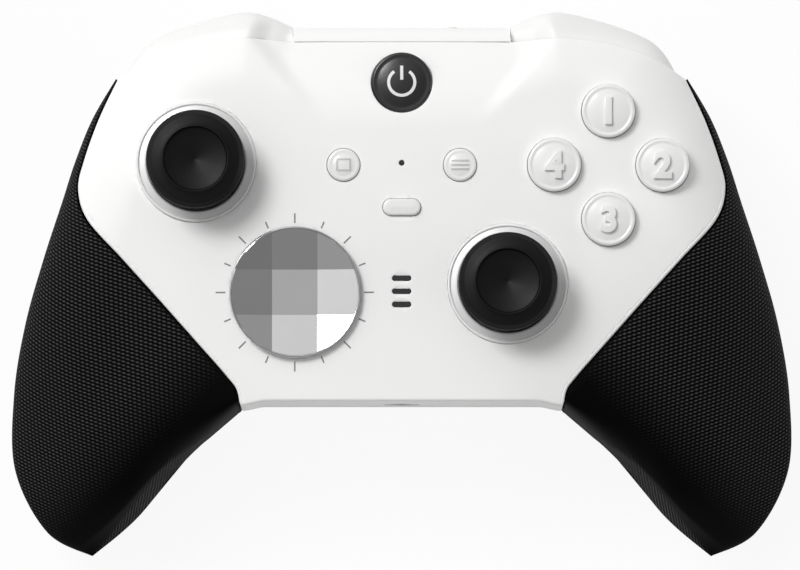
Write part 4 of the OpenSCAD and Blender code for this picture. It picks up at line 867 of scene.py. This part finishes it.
def bumperParts():
    # a section carried along the shoulder: lip under the shell, quarter ellipse to the rim, skirt, inside
    bumper = {"lip": -2.4, "start": -0.4, "wall": 1.8, "skirt": 25.5, "seam": 2.2, "sink": 0.4, "blur": 29,
              "pivot": (18.3, 45.6), "lugR": 2.5, "boreR": 1.15, "lugLow": 29, "lugHigh": 33}
    rings, bends = 110, 22
    u = np.linspace(0, len(shelfLine) - 1, rings)
    s = splineAt([*shelfLine[:-1], [53.9, 41.9]], u)  # the outer end turns in under the shell's corner
    crest = splineAt([*crestLine[:-2], [51.2, 47.4], [55, 41.2]], u)
    blur = np.hanning(bumper["blur"]) / np.hanning(bumper["blur"]).sum()  # rounds the peak of the crest
    padded = [np.pad(v, bumper["blur"] // 2, mode="reflect", reflect_type="odd") for v in crest.T]
    c = np.stack([np.convolve(v, blur, "valid") for v in padded], 1)
    seamDrop = bumper["seam"] + bumper["sink"] * ease(5, 6, u)
    drop = seamDrop - 0.15 * (1 - ease(0.3, 3.3, u))
    full = (0.6 + 0.4 * ease(0.3, 3, u))[:, None]  # below 1 the ellipse grows squarer, towards the cover
    width = np.linalg.norm(c - s, axis=1)
    d = (c - s) / width[:, None]
    a = np.linspace(0, np.pi / 2, bends)

    def path(inset):
        zRim = rimH(c) - 1
        zSeam = faceZ(s) - seamDrop - inset
        zTop = faceZ(s) - drop - inset
        end = width - np.minimum(inset, 0.42 * width)
        start = np.full(rings, bumper["start"])
        over = start[:, None] + (end - start)[:, None] * np.sin(a)**full
        fall = zRim[:, None] + (zTop - zRim)[:, None] * np.cos(a)**full
        reach = np.column_stack([np.full(rings, bumper["lip"]), start, over, end])
        z = np.column_stack([zSeam, zSeam, fall, np.full(rings, bumper["skirt"])])
        return np.dstack([s[:, None] + d[:, None] * reach[:, :, None], z])

    loop = np.concatenate([path(0), path(bumper["wall"])[:, ::-1]], axis=1)
    lugR, boreR, low, high = (bumper[key] for key in ("lugR", "boreR", "lugLow", "lugHigh"))
    lug = turned([[boreR, low], [lugR, low], [lugR, high], [boreR, high], [boreR, low]], bumper["pivot"], 48)
    web = blockPart([19.6, 44.7, 29.1], [24.4, 47, 32.9])
    rise = blockPart([22.2, 46.9, 29.1], [24.4, 50.2, 32.9])
    return [tubePart(loop), lug, web, rise]


addPair("Bumper", "bumper", True, bumperParts(), "white_plastic", bumperAbs)
print("bumpers made")


def topCover():
    # a plan of (x, distance along the profile) bent over the brow and down the front, with two openings
    cover = {"half": 21.4, "wall": 1.8, "usb": (4.7, 1.8), "usbZ": 26.4, "pairX": 9.5, "pairR": 1.7,
             "back": 47.66, "front": 50.8, "bendZ": 31}
    top = faceAt([0, case["browY"]])

    def profile(inset):
        a = np.radians(np.linspace(0, 90, 25))
        front = cover["front"] - inset
        y = cover["back"] + (front - cover["back"]) * np.sin(a)
        z = cover["bendZ"] + (top - inset - cover["bendZ"]) * np.cos(a)
        return np.vstack([np.stack([y, z], 1), [[front, 28], [front, 25], [50.2 - inset, 19.6]]])

    outerLine, innerLine = profile(0), profile(cover["wall"])
    along = np.concatenate([[0], np.cumsum(np.linalg.norm(np.diff(outerLine, axis=0), axis=1))])

    def bent(line, plan):
        y = np.interp(plan[:, 1], along, line[:, 0])
        z = np.interp(plan[:, 1], along, line[:, 1])
        return np.column_stack([plan[:, 0], y, z])

    x = np.linspace(-cover["half"], cover["half"], 44)
    half = cover["half"]
    outline = np.vstack([np.stack([x, 0 * x], 1), np.stack([np.full(len(along) - 2, half), along[1:-1]], 1),
                         np.stack([x[::-1], np.full(44, along[-1])], 1),
                         np.stack([np.full(len(along) - 2, -half), along[-2:0:-1]], 1)])
    level = along[25] + 28 - cover["usbZ"]
    holes = [pillLoop([0, level], *cover["usb"], 48),
             pillLoop([cover["pairX"], level], cover["pairR"], cover["pairR"], 32)]
    gx, gy = np.meshgrid(np.linspace(-half + 0.3, half - 0.3, 40), along[1:-1])
    plan, faces = fillPlan(outline, holes, np.stack([gx.ravel(), gy.ravel()], 1), 0.1)
    outer, inner = bent(outerLine, plan), bent(innerLine, plan)
    n = len(outline)
    parts = [(outer, faces.tolist()), (inner, faces.tolist()),
             gridPart(np.stack([outer[:n], inner[:n]]), closeCols=True)]
    start = n
    for hole in holes:
        ring = slice(start, start + len(hole))
        parts.append(gridPart(np.stack([outer[ring], inner[ring]]), closeCols=True))
        start += len(hole)
    addPiece("topCover", parts, "case", "white_plastic", whiteAbs, ["top_cover"])


topCover()
print("top cover made")


triggerPin = np.array([41, 29.6])  # y and z of the pin


def triggerParts():
    # blade: a closed profile in (y, z) widened by an outline in (x, z), thinned to a round at its two sides;
    # two cheeks carry it on its pin
    trigger = {"x": 37.6, "y": 46.6, "cheeks": (27.6, 45.2), "cheek": 2.4, "eyeR": 2.7, "boreR": 1.25}
    front = [[-1, 3.2], [0.4, 2.2], [1.1, -0.1], [1.3, -4.6], [1.2, -10.1], [0.7, -15.1], [0.6, -19.1],
             [1.8, -22.2], [3.6, -24.2]]
    back = [[-1.2, 1.8], [-1, -0.6], [-1, -4.6], [-1.3, -10.1], [-1.8, -15.6], [-1.6, -20.1], [0, -23],
            [2.2, -24.8]]
    side = spline([[0, -25.2], [4, -25], [7.6, -23], [10, -15.6], [10.8, -5.6], [10.8, 8.4]], 8)
    rows, cols, skew = 56, 41, math.radians(14)
    f = splineAt(front, np.linspace(0, len(front) - 1, rows))
    b = splineAt(back, np.linspace(0, len(back) - 1, rows))
    middle = (f + b) / 2
    s = np.sin(np.linspace(-np.pi / 2, np.pi / 2, cols))
    halfW = np.interp(middle[:, 1], side[:, 1], side[:, 0])
    share = 0.3 + 0.7 * roll((1 - np.abs(s))[None, :] * halfW[:, None] / 1.6, 2)

    def face(line):
        offset = (line - middle)[:, None, :] * share[:, :, None]
        yz = middle[:, None, :] + offset
        return np.dstack([halfW[:, None] * s[None, :], yz])

    loop = np.concatenate([face(f), face(b)[::-1]])
    verts, faces = gridPart(loop, closeRows=True)
    for col in (0, cols - 1):
        order = np.arange(rows - 1)
        ladder = np.stack([order, order + 1, 2 * rows - 2 - order, 2 * rows - 1 - order], 1)
        faces += (ladder * cols + col).tolist()
    x, y, z = verts.T
    turnedBlade = np.column_stack([trigger["x"] + x * math.cos(skew) + y * math.sin(skew),
                                   trigger["y"] - x * math.sin(skew) + y * math.cos(skew), triggerPin[1] + z])
    parts = [(turnedBlade, faces)]
    for x0 in trigger["cheeks"]:
        reach = trigger["y"] - (x0 + trigger["cheek"] / 2 - trigger["x"]) * math.tan(skew)
        heel = max(reach - 3.2, 42.2)
        bow = triggerPin + trigger["eyeR"] * onCircle(np.radians(np.arange(96, 252, 6)))
        web = np.array([[40.2, 27], [heel, 13], [reach - 1.2, 10], [reach - 0.4, 14], [reach, 23.6],
                        [reach, 31.6], [41, 32.3]])
        outline = np.vstack([web, bow])
        hole = pillLoop(triggerPin, trigger["boreR"], trigger["boreR"], 32)
        plan, planFaces = fillPlan(outline, [hole], hexGrid([38, 9], [51, 33], 2), 0.5)
        ends = [np.column_stack([np.full(len(plan), x), plan]) for x in (x0, x0 + trigger["cheek"])]
        n, m = len(outline), len(hole)
        parts += [(end, planFaces.tolist()) for end in ends]
        parts += [gridPart(np.stack([end[:n] for end in ends]), closeCols=True),
                  gridPart(np.stack([end[n:n + m] for end in ends]), closeCols=True)]
    return parts


addPair("Trigger", "trigger", True, triggerParts(), "white_plastic", whiteAbs, sharp=40)


def springParts():
    # wire carried along a helix round the trigger pin: along = turns * pitch, radius = coil + wire * cos
    spring = {"turns": 6, "wire": 0.35, "coil": 1.85, "pitch": 1.3}
    middle = centreOf("right_trigger_spring")[0]
    t = np.linspace(0, spring["turns"], spring["turns"] * 40 + 1)
    a = 2 * np.pi * t
    b = np.linspace(0, 2 * np.pi, 12, endpoint=False)
    r = spring["coil"] + spring["wire"] * np.cos(b)[None, :]
    x = middle + (t[:, None] - spring["turns"] / 2) * spring["pitch"] + spring["wire"] * np.sin(b)[None, :]
    y = triggerPin[0] + r * np.cos(a)[:, None]
    z = triggerPin[1] + r * np.sin(a)[:, None]
    return [tubePart(np.dstack([x, y, z]))]


addPair("TriggerSpring", "trigger_spring", False, springParts(), "steel", drawnSteel, sharp=60)
print("triggers and springs made")


def stickPieces(side):
    # ring, domed post and dished cap, each a profile turned about the stick's axis
    stick = {"pivot": 31.6, "domeR": 12.4, "dome": 1, "platedR": 11.33, "plated": 0.65, "pinR": 0.7,
             "pin": 4.1}
    name = side.split("_")[0] + "Stick"
    centre = planOf(side + "_ring")
    ring = [[10.4, -2.2], [11.1, -2.2], [11.1, -0.64], [11.9, -0.64], *arc((11.62, 0.42), 0.28, 0, 150, 8),
            [11.33, 0.42], [11.3, 0.36], [11.0, 0.4], [10.7, 0.44], [10.4, 0.48], [10.1, 0.52],
            *arc((10.06, 0.26), 0.26, 90, 180, 5), [9.72, -0.8], [10.4, -1.4], [10.4, -2.2]]
    verts, faces = turned(np.array(ring) + [0, faceAt(centre)], centre, 128)
    radius = np.linalg.norm(verts[:, :2] - centre, axis=1)
    band = stick["plated"] * np.clip((stick["platedR"] - radius) / 0.03, 0, 1)
    addPiece(name + "Ring", [(verts, faces)], "case", "white_plastic", ringSilver, [side + "_ring"], sharp=30,
             maps={"turned": np.column_stack([radius, band, 0 * band])})
    out = np.radians(np.linspace(62, 24, 20))
    under = np.radians(np.linspace(8, 62, 20)[2:])
    hollow = (stick["domeR"] - stick["dome"]) * onCircle(under)[:, ::-1]
    dome = stick["domeR"] * onCircle(out)[:, ::-1]
    post = [[0, -3], [2.2, -3], [2.2, 8], *hollow.tolist(), *dome.tolist(), [4.6, 11.6], [4.2, 13.5],
            [4, 15.5], [4, 19.4], [0, 19.4]]
    parts = [turned(np.array(post) + [0, stick["pivot"]], centre, 96),
             crossPin(centre, stick["pivot"], stick["pinR"], stick["pin"])]
    addPiece(name + "Post", parts, side, "stick_silver", silverPaint, [side + "_post"], sharp=40)
    cap = [[0, 19.4], [8.1, 19.4], *arc((8.4, 20.3), 0.9, -80, -10, 6), [9.5, 21.2],
           *arc((8.95, 21.9), 0.8, 0, 50, 8), [9.1, 22.95], [8.82, 23.25], *arc((8.55, 23.1), 0.3, 40, 80, 4),
           [8.2, 23.46], [7.6, 23.6], [7, 23.74], [6.75, 23.84], *arc((6.5, 23.75), 0.2, 60, 150, 6),
           [6.2, 23.6], [6.12, 23.3], [5.9, 23.2], [4, 22.82], [2, 22.4], [0.3, 22.03], [0, 21.97]]
    parts = [turned(np.array(cap) + [0, stick["pivot"]], centre, 240)]
    addPiece(name + "Cap", parts, side, "stick_rubber", stickRubber, [side + "_cap"], sharp=40)


for side in sticks:
    stickPieces(side)
print("sticks made")


def directionDisc():
    # dish of nine flat facets: height = slope * (how far |x| and |y| lie past the level square); turned rim
    centre = planOf("direction_disc")
    low, high = boxOf("direction_disc")
    disc = {"rim": 0.45, "square": 4.5, "depth": 1.45, "neck": 0.7, "deep": 2.4, "stemR": 2.4, "pinZ": 39.53}
    outR, top = halfWidthOf("direction_disc"), high[2]
    inner = outR - disc["rim"]
    slope = disc["depth"] / (inner - disc["square"])
    s = disc["square"]
    cross = np.sqrt(inner**2 - s**2)
    marks = np.array([[i, j] for i in (-s, s) for j in (-s, s)])
    ends = np.array([[i, j] for i in (-s, s) for j in (-cross, cross)])
    ends = np.vstack([ends, ends[:, ::-1]])
    rim = pillLoop((0, 0), inner, inner, 192)
    a = np.sort(np.concatenate([np.arctan2(rim[:, 1], rim[:, 0]), np.arctan2(ends[:, 1], ends[:, 0])]))
    rim = inner * onCircle(a)
    t = np.linspace(-0.98, 0.98, 60)
    lines = [np.stack([np.full(60, v), t * cross], 1) for v in (-s, s)]
    lines += [line[:, ::-1] for line in lines]
    plan, faces = fillPlan(rim, [], np.vstack([marks, *lines]), 0.1)
    over = np.maximum(np.abs(plan) - s, 0).sum(1)
    dish = np.column_stack([plan + centre, top - 0.12 - disc["depth"] + slope * over])
    n = len(rim)
    neck, deep = outR - disc["neck"], top - disc["deep"]
    levels = [(inner + 0.1, top - 0.03), (inner + 0.2, top), (outR - 0.2, top - 0.02),
              (outR - 0.06, top - 0.1), (outR, top - 0.17), (outR, top - 0.25), (outR - 0.1, top - 0.33),
              (neck, top - 0.36), (neck, top - 2.3), (outR - 0.8, deep), (disc["stemR"], deep),
              (disc["stemR"], low[2]), (0, low[2])]
    rows = [dish[:n], *(atLevel(centre + plan[:n] * r / inner, z) for r, z in levels)]
    parts = [(dish, faces.tolist()), gridPart(np.stack(rows), closeCols=True),
             crossPin(centre, disc["pinZ"], 0.8, 5.2)]
    addPiece("directionDisc", parts, "disc", "disc_silver", discSilver, ["direction_disc"], sharp=4)
    # printed scale round the disc: long marks at the eight main directions, short ones between
    scale = {"start": 13.75, "long": 15.7, "short": 15.15, "width": 0.3, "count": 16}
    bars = []
    for k in range(scale["count"]):
        a = 2 * np.pi * k / scale["count"]
        reach = np.linspace(scale["start"], scale["short"] if k % 2 else scale["long"], 5)
        path = centre + reach[:, None] * [np.cos(a), np.sin(a)]
        bars.append(stripPart(path, scale["width"], faceZ, -0.05, 0.02))
    addPiece("discScale", bars, "case", "slider_grey", markGrey)


directionDisc()
print("direction disc made")


def numeralPart(digit, height, thickness, centre, heightAt):
    # a plain numeral laid flat, then lifted point by point onto the crown of its button
    curve = bpy.data.curves.new("numeral", "FONT")
    curve.body = digit
    curve.size = 1
    curve.extrude = 0.1
    curve.bevel_depth = 0.018
    curve.bevel_resolution = 2
    curve.offset = 0.03
    text = bpy.data.objects.new("numeral", curve)
    bpy.context.scene.collection.objects.link(text)
    bpy.context.view_layer.update()
    mesh = bpy.data.meshes.new_from_object(text.evaluated_get(bpy.context.evaluated_depsgraph_get()))
    points = np.zeros(len(mesh.vertices) * 3)
    mesh.vertices.foreach_get("co", points)
    points = points.reshape(-1, 3)
    faces = [list(polygon.vertices) for polygon in mesh.polygons]
    bpy.data.objects.remove(text)
    low, high = points.min(0), points.max(0)
    points = (points - (low + high) / 2) * height / (high[1] - low[1])
    lift = (points[:, 2] - points[:, 2].min()) / np.ptp(points[:, 2])
    plan = points[:, :2] + centre
    return np.column_stack([plan, heightAt(plan) - 0.1 + (thickness + 0.1) * lift]), faces


def roundButton(node, body, rise, material, slot, grooved=False):
    # stem, flange under the shell, side, rounded rim, shallow groove and a crowned top, all turned
    centre = planOf(node)
    low = boxOf(node)[0][2]
    radius = halfWidthOf(node) - flange
    brimR = radius + flange
    face = faceAt(centre)
    top = face + rise
    crown = {"rim": 0.5, "groove": 0.1, "drop": 0.12 * radius, "flange": 0.7}
    brim = centre + brimR * onCircle(np.linspace(0, 2 * np.pi, 48, endpoint=False))
    under = min(face - 3.3, faceZ(brim).min() - case["wall"] - 0.4)  # below the lowest wall over the flange
    foot = under - crown["flange"]
    stem = min(2.4, radius - 0.6)
    rimZ = top - crown["drop"] * 0.75
    dishR = radius - 0.95

    def crownZ(share):  # height of the top at this share of its radius
        return top - 0.08 - crown["drop"] * 0.8 * share**2

    def topZ(p):
        return crownZ(np.linalg.norm(p - centre, axis=1) / dishR)

    r = np.linspace(1, 0, 16)
    groove = [[radius - 0.75, rimZ - 0.04], [dishR + 0.08, rimZ - crown["groove"]]] if grooved else []
    profile = [[0, low], [stem, low], [stem, foot], [brimR - 0.1, foot], [brimR, foot + 0.1], [brimR, under],
               [radius, under], [radius, rimZ - crown["rim"]],
               *arc((radius - crown["rim"], rimZ - crown["rim"]), crown["rim"], 10, 90, 8),
               *groove, *np.stack([dishR * r, crownZ(r)], 1).tolist()]
    addPiece(body + "Button", [turned(profile, centre, 96)], body, slot, material, [node], sharp=32)
    return centre, topZ


numeral = {"height": 5.5, "thickness": 0.75, "rise": 2.2}
for body, digit in (("north", "1"), ("east", "2"), ("south", "3"), ("west", "4")):
    node = "button_" + body
    centre, topZ = roundButton(node, body, numeral["rise"], glossAbs, "button_white", grooved=True)
    part = numeralPart(digit, numeral["height"], numeral["thickness"], centre, topZ)
    addPiece(body + "Numeral", [part], body, "button_white", glossAbs, sharp=30)


def menuBars(centre, topZ):
    bars = []
    for k in (-1, 0, 1):
        path = np.stack([np.linspace(-1.75, 1.75, 9), np.full(9, k * 0.85)], 1) + centre
        bars.append(stripPart(path, 0.32, topZ, -0.1, 0.12))
    return bars


def viewSquare(centre, topZ):
    corner = np.array([[-1.3, -1.1], [1.3, -1.1], [1.3, 1.1], [-1.3, 1.1]])
    sides = zip(corner, np.roll(corner, -1, axis=0))
    path = np.vstack([np.linspace(a, b, 6, endpoint=False) for a, b in sides])
    return [stripPart(path + centre, 0.32, topZ, -0.1, 0.12, loop=True)]


def powerMark(centre, topZ):
    a = np.radians(np.linspace(125, 415, 60))
    ring = 2.6 * onCircle(a) + centre
    bar = np.stack([np.zeros(8), np.linspace(0.5, 3.3, 8)], 1) + centre
    return [stripPart(ring, 0.6, topZ, -0.1, 0.05), stripPart(bar, 0.6, topZ, -0.1, 0.06)]


for body, marks in (("view", viewSquare), ("menu", menuBars)):
    crownOf = roundButton(body + "_button", body, 1, glossAbs, "button_white")
    addPiece(body + "Mark", marks(*crownOf), body, "button_white", markPale)
crownOf = roundButton("home_button", "home", 1, darkGlass, "home_dark")
addPiece("homeMark", powerMark(*crownOf), "home", "white_plastic", markWhite)


def profilePill():
    # loops of the pill's outline, drawn in step by step over its rounded top
    centre = planOf("profile_button")
    low = boxOf("profile_button")[0][2]
    halfL, halfW = pill["halfL"], pill["halfW"]
    face = faceAt(centre)
    top, foot, under = face + pill["rise"], face - 4, face - 3.3
    rows = [(-flange, foot), (-flange, under), (0, under), (0, top - 0.6)]
    rows += [(0.5 * (1 - np.cos(t)), top - 0.6 + 0.5 * np.sin(t)) for t in np.radians(np.linspace(0, 90, 8))]
    rows += [(0.5 + (halfW - 0.52) * k, top - 0.1 + 0.1 * k) for k in (0.25, 0.5, 0.75, 1)]
    loops = [atLevel(pillLoop(centre, halfL - inset, halfW - inset, 96), z) for inset, z in rows]
    stem = turned([[0, low], [1.2, low], [1.2, face - 3.9], [0, face - 3.9]], centre, 32)
    parts = [tubePart(np.stack(loops)), stem]
    addPiece("profileButton", parts, "profile", "button_white", glossAbs, ["profile_button"], sharp=40)


profilePill()
print("buttons made")


def stopSlider(side):
    # slider block with three thumb ridges and the stem through its slot
    slider = {"halfW": 2.8, "halfL": 3.5, "stem": 1.2, "ridge": 2.2, "ridgeHalf": 0.35, "pitch": 1.8,
              "floor": 3.0}
    x, y = planOf(side + "_stop_slider")
    top = boxOf(side + "_stop_slider")[1][2]
    w, l, s, floor = slider["halfW"], slider["halfL"], slider["stem"], slider["floor"]
    parts = [blockPart([x - w, y - l, floor - 2.2], [x + w, y + l, floor - 0.3]),
             blockPart([x - s, y - s, floor - 0.35], [x + s, y + s, top])]
    for k in (-1, 0, 1):
        at = y + k * slider["pitch"]
        parts.append(blockPart([x - slider["ridge"], at - slider["ridgeHalf"], floor - 2.65],
                               [x + slider["ridge"], at + slider["ridgeHalf"], floor - 2.15]))
    addPiece(side + "StopSlider", parts, side + "_stop", "slider_grey", sliderGrey, [side + "_stop_slider"],
             bevel=0.12)


for side in ("left", "right"):
    stopSlider(side)
print("sliders made")


# the works inside keep their CAD shapes and take their own finishes
works = [
    (frameGrey, ["middle_frame"]),
    (drawnSteel, ["left_trigger_pin", "right_trigger_pin", "board_screws", "shell_screws", "usb_port"]),
    (moduleBlack, ["left_stick_base", "right_stick_base", "disc_base"]),
    (glossAbs, ["pairing_button"]),
    (acetal, ["left_stick_cradle", "right_stick_cradle", "left_stick_gimbal", "right_stick_gimbal",
              "disc_gimbal"]),
    (motorSteel, ["left_motor", "right_motor"]),
    (weightSteel, ["left_motor_weight", "right_motor_weight"]),
    (boardGreen, ["main_board", "button_board"]),
    (brass, ["board_spacers", "dock_contacts"]),
    (batteryWrap, ["battery_pack"]),
    (plateGrey, ["dock_plate", "headset_socket"]),
    (darkGlass, ["profile_lights", "status_light"]),
]
for material, nodes in works:
    for node in nodes:
        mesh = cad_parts[node].data
        mesh.materials.clear()
        mesh.materials.append(material)
print("works finished")

# studio: white paper floor, a wide soft glow and a key lamp from the upper left, a low lamp on the right
studio = {"key": 30, "keySize": 0.8, "keyPlace": (-1.05, 1.0, 2.05), "side": 2, "sideSize": 0.5,
          "sidePlace": (1.2, -0.1, 0.35), "glow": (0.23, 0.9), "glowStart": 0.286, "glowWidth": 0.664,
          "glowPower": 2.8, "glowFrom": (-0.5, 0.5, 0.707), "paperWhite": 0.92}


def areaLight(name, place, size, power):
    lamp = bpy.data.lights.new(name, "AREA")
    lamp.shape = "SQUARE"
    lamp.size = size
    lamp.energy = power
    holder = bpy.data.objects.new(name, lamp)
    bpy.context.scene.collection.objects.link(holder)
    holder.location = place
    holder.rotation_euler = (Vector((0, 0, 0.02)) - Vector(place)).to_track_quat("-Z", "Y").to_euler()


areaLight("keySoftbox", studio["keyPlace"], studio["keySize"], studio["key"])
areaLight("sideSoftbox", studio["sidePlace"], studio["sideSize"], studio["side"])


# brightness of the sky = low + high * ((direction . glow - start) / width) ^ power
world = bpy.data.worlds.new("studio")
bpy.context.scene.world = world
world.use_nodes = True
tree = world.node_tree
tree.nodes.clear()
direction = addNode(tree, "TexCoord", {}).outputs["Generated"]
towardsGlow = addNode(tree, "VectorMath", {0: direction, 1: studio["glowFrom"]}, operation="DOT_PRODUCT")
part = addNode(tree, "MapRange", {"Value": towardsGlow.outputs["Value"], "From Min": studio["glowStart"],
                                  "From Max": studio["glowStart"] + studio["glowWidth"]})
curve = addNode(tree, "Math", {0: part.outputs["Result"], 1: studio["glowPower"]}, operation="POWER")
level = addNode(tree, "Math", {0: curve.outputs[0], 1: studio["glow"][1], 2: studio["glow"][0]},
                operation="MULTIPLY_ADD")
around = addNode(tree, "Background", {"Color": linear("#ffffff"), "Strength": level.outputs[0]})
behind = addNode(tree, "Background", {"Color": linear("#ffffff"), "Strength": 1})
seen = addNode(tree, "LightPath", {}).outputs["Is Camera Ray"]
pick = addNode(tree, "MixShader", {0: seen, 1: around.outputs[0], 2: behind.outputs[0]})
addNode(tree, "OutputWorld", {"Surface": pick.outputs[0]})

floorZ = -0.0002  # a hair under the dock plate's level face
floorMesh = bpy.data.meshes.new("floor")
corners = [(-6, -6, floorZ), (6, -6, floorZ), (6, 6, floorZ), (-6, 6, floorZ)]
floorMesh.from_pydata(corners, [], [(0, 1, 2, 3)])
floor = bpy.data.objects.new("floor", floorMesh)
bpy.context.scene.collection.objects.link(floor)
# uncoated paper: white, no shine
paper = finish("matt white paper", {
    "tones": ("#f4f4f4", "#f8f8f8"), "rough": (0.85, 0.95), "cloud": 60, "grain": 0.5, "bump": 0.02,
    "fixed": {"Specular IOR Level": 0.1}})
# seen straight or in a reflection, the paper is mostly plain white and keeps a share of the shadow
tree = paper.node_tree
lit = next(node for node in tree.nodes if node.type == "BSDF_PRINCIPLED")
end = next(node for node in tree.nodes if node.type == "OUTPUT_MATERIAL")
rays = addNode(tree, "LightPath", {}).outputs
shiny = addNode(tree, "Math", {0: rays["Is Glossy Ray"], 1: rays["Is Transmission Ray"]}, operation="MAXIMUM")
either = addNode(tree, "Math", {0: rays["Is Camera Ray"], 1: shiny.outputs[0]}, operation="MAXIMUM")
share = addNode(tree, "Math", {0: either.outputs[0], 1: studio["paperWhite"]}, operation="MULTIPLY")
plain = addNode(tree, "Emission", {"Color": linear("#ffffff"), "Strength": 1})
mix = addNode(tree, "MixShader", {0: share.outputs[0], 1: lit.outputs[0], 2: plain.outputs[0]})
tree.links.new(mix.outputs[0], end.inputs["Surface"])
floorMesh.materials.append(paper)

view = {"across": 160, "distance": 2.5, "tilt": 3, "aim": (-0.34, 0, 22), "sensor": 36}
lens = bpy.data.cameras.new("longLens")
lens.sensor_width = view["sensor"]
lens.lens = view["sensor"] * view["distance"] / (view["across"] * mm)
lens.clip_end = 30
camera = bpy.data.objects.new("longLens", lens)
bpy.context.scene.collection.objects.link(camera)
tilt = math.radians(view["tilt"])
aim = Vector(view["aim"]) * mm
camera.location = aim + Vector((0, -math.sin(tilt), math.cos(tilt))) * view["distance"]
camera.rotation_euler = (tilt, 0, 0)
bpy.context.scene.camera = camera
bpy.context.scene.view_settings.view_transform = "Standard"
print("studio and camera set")
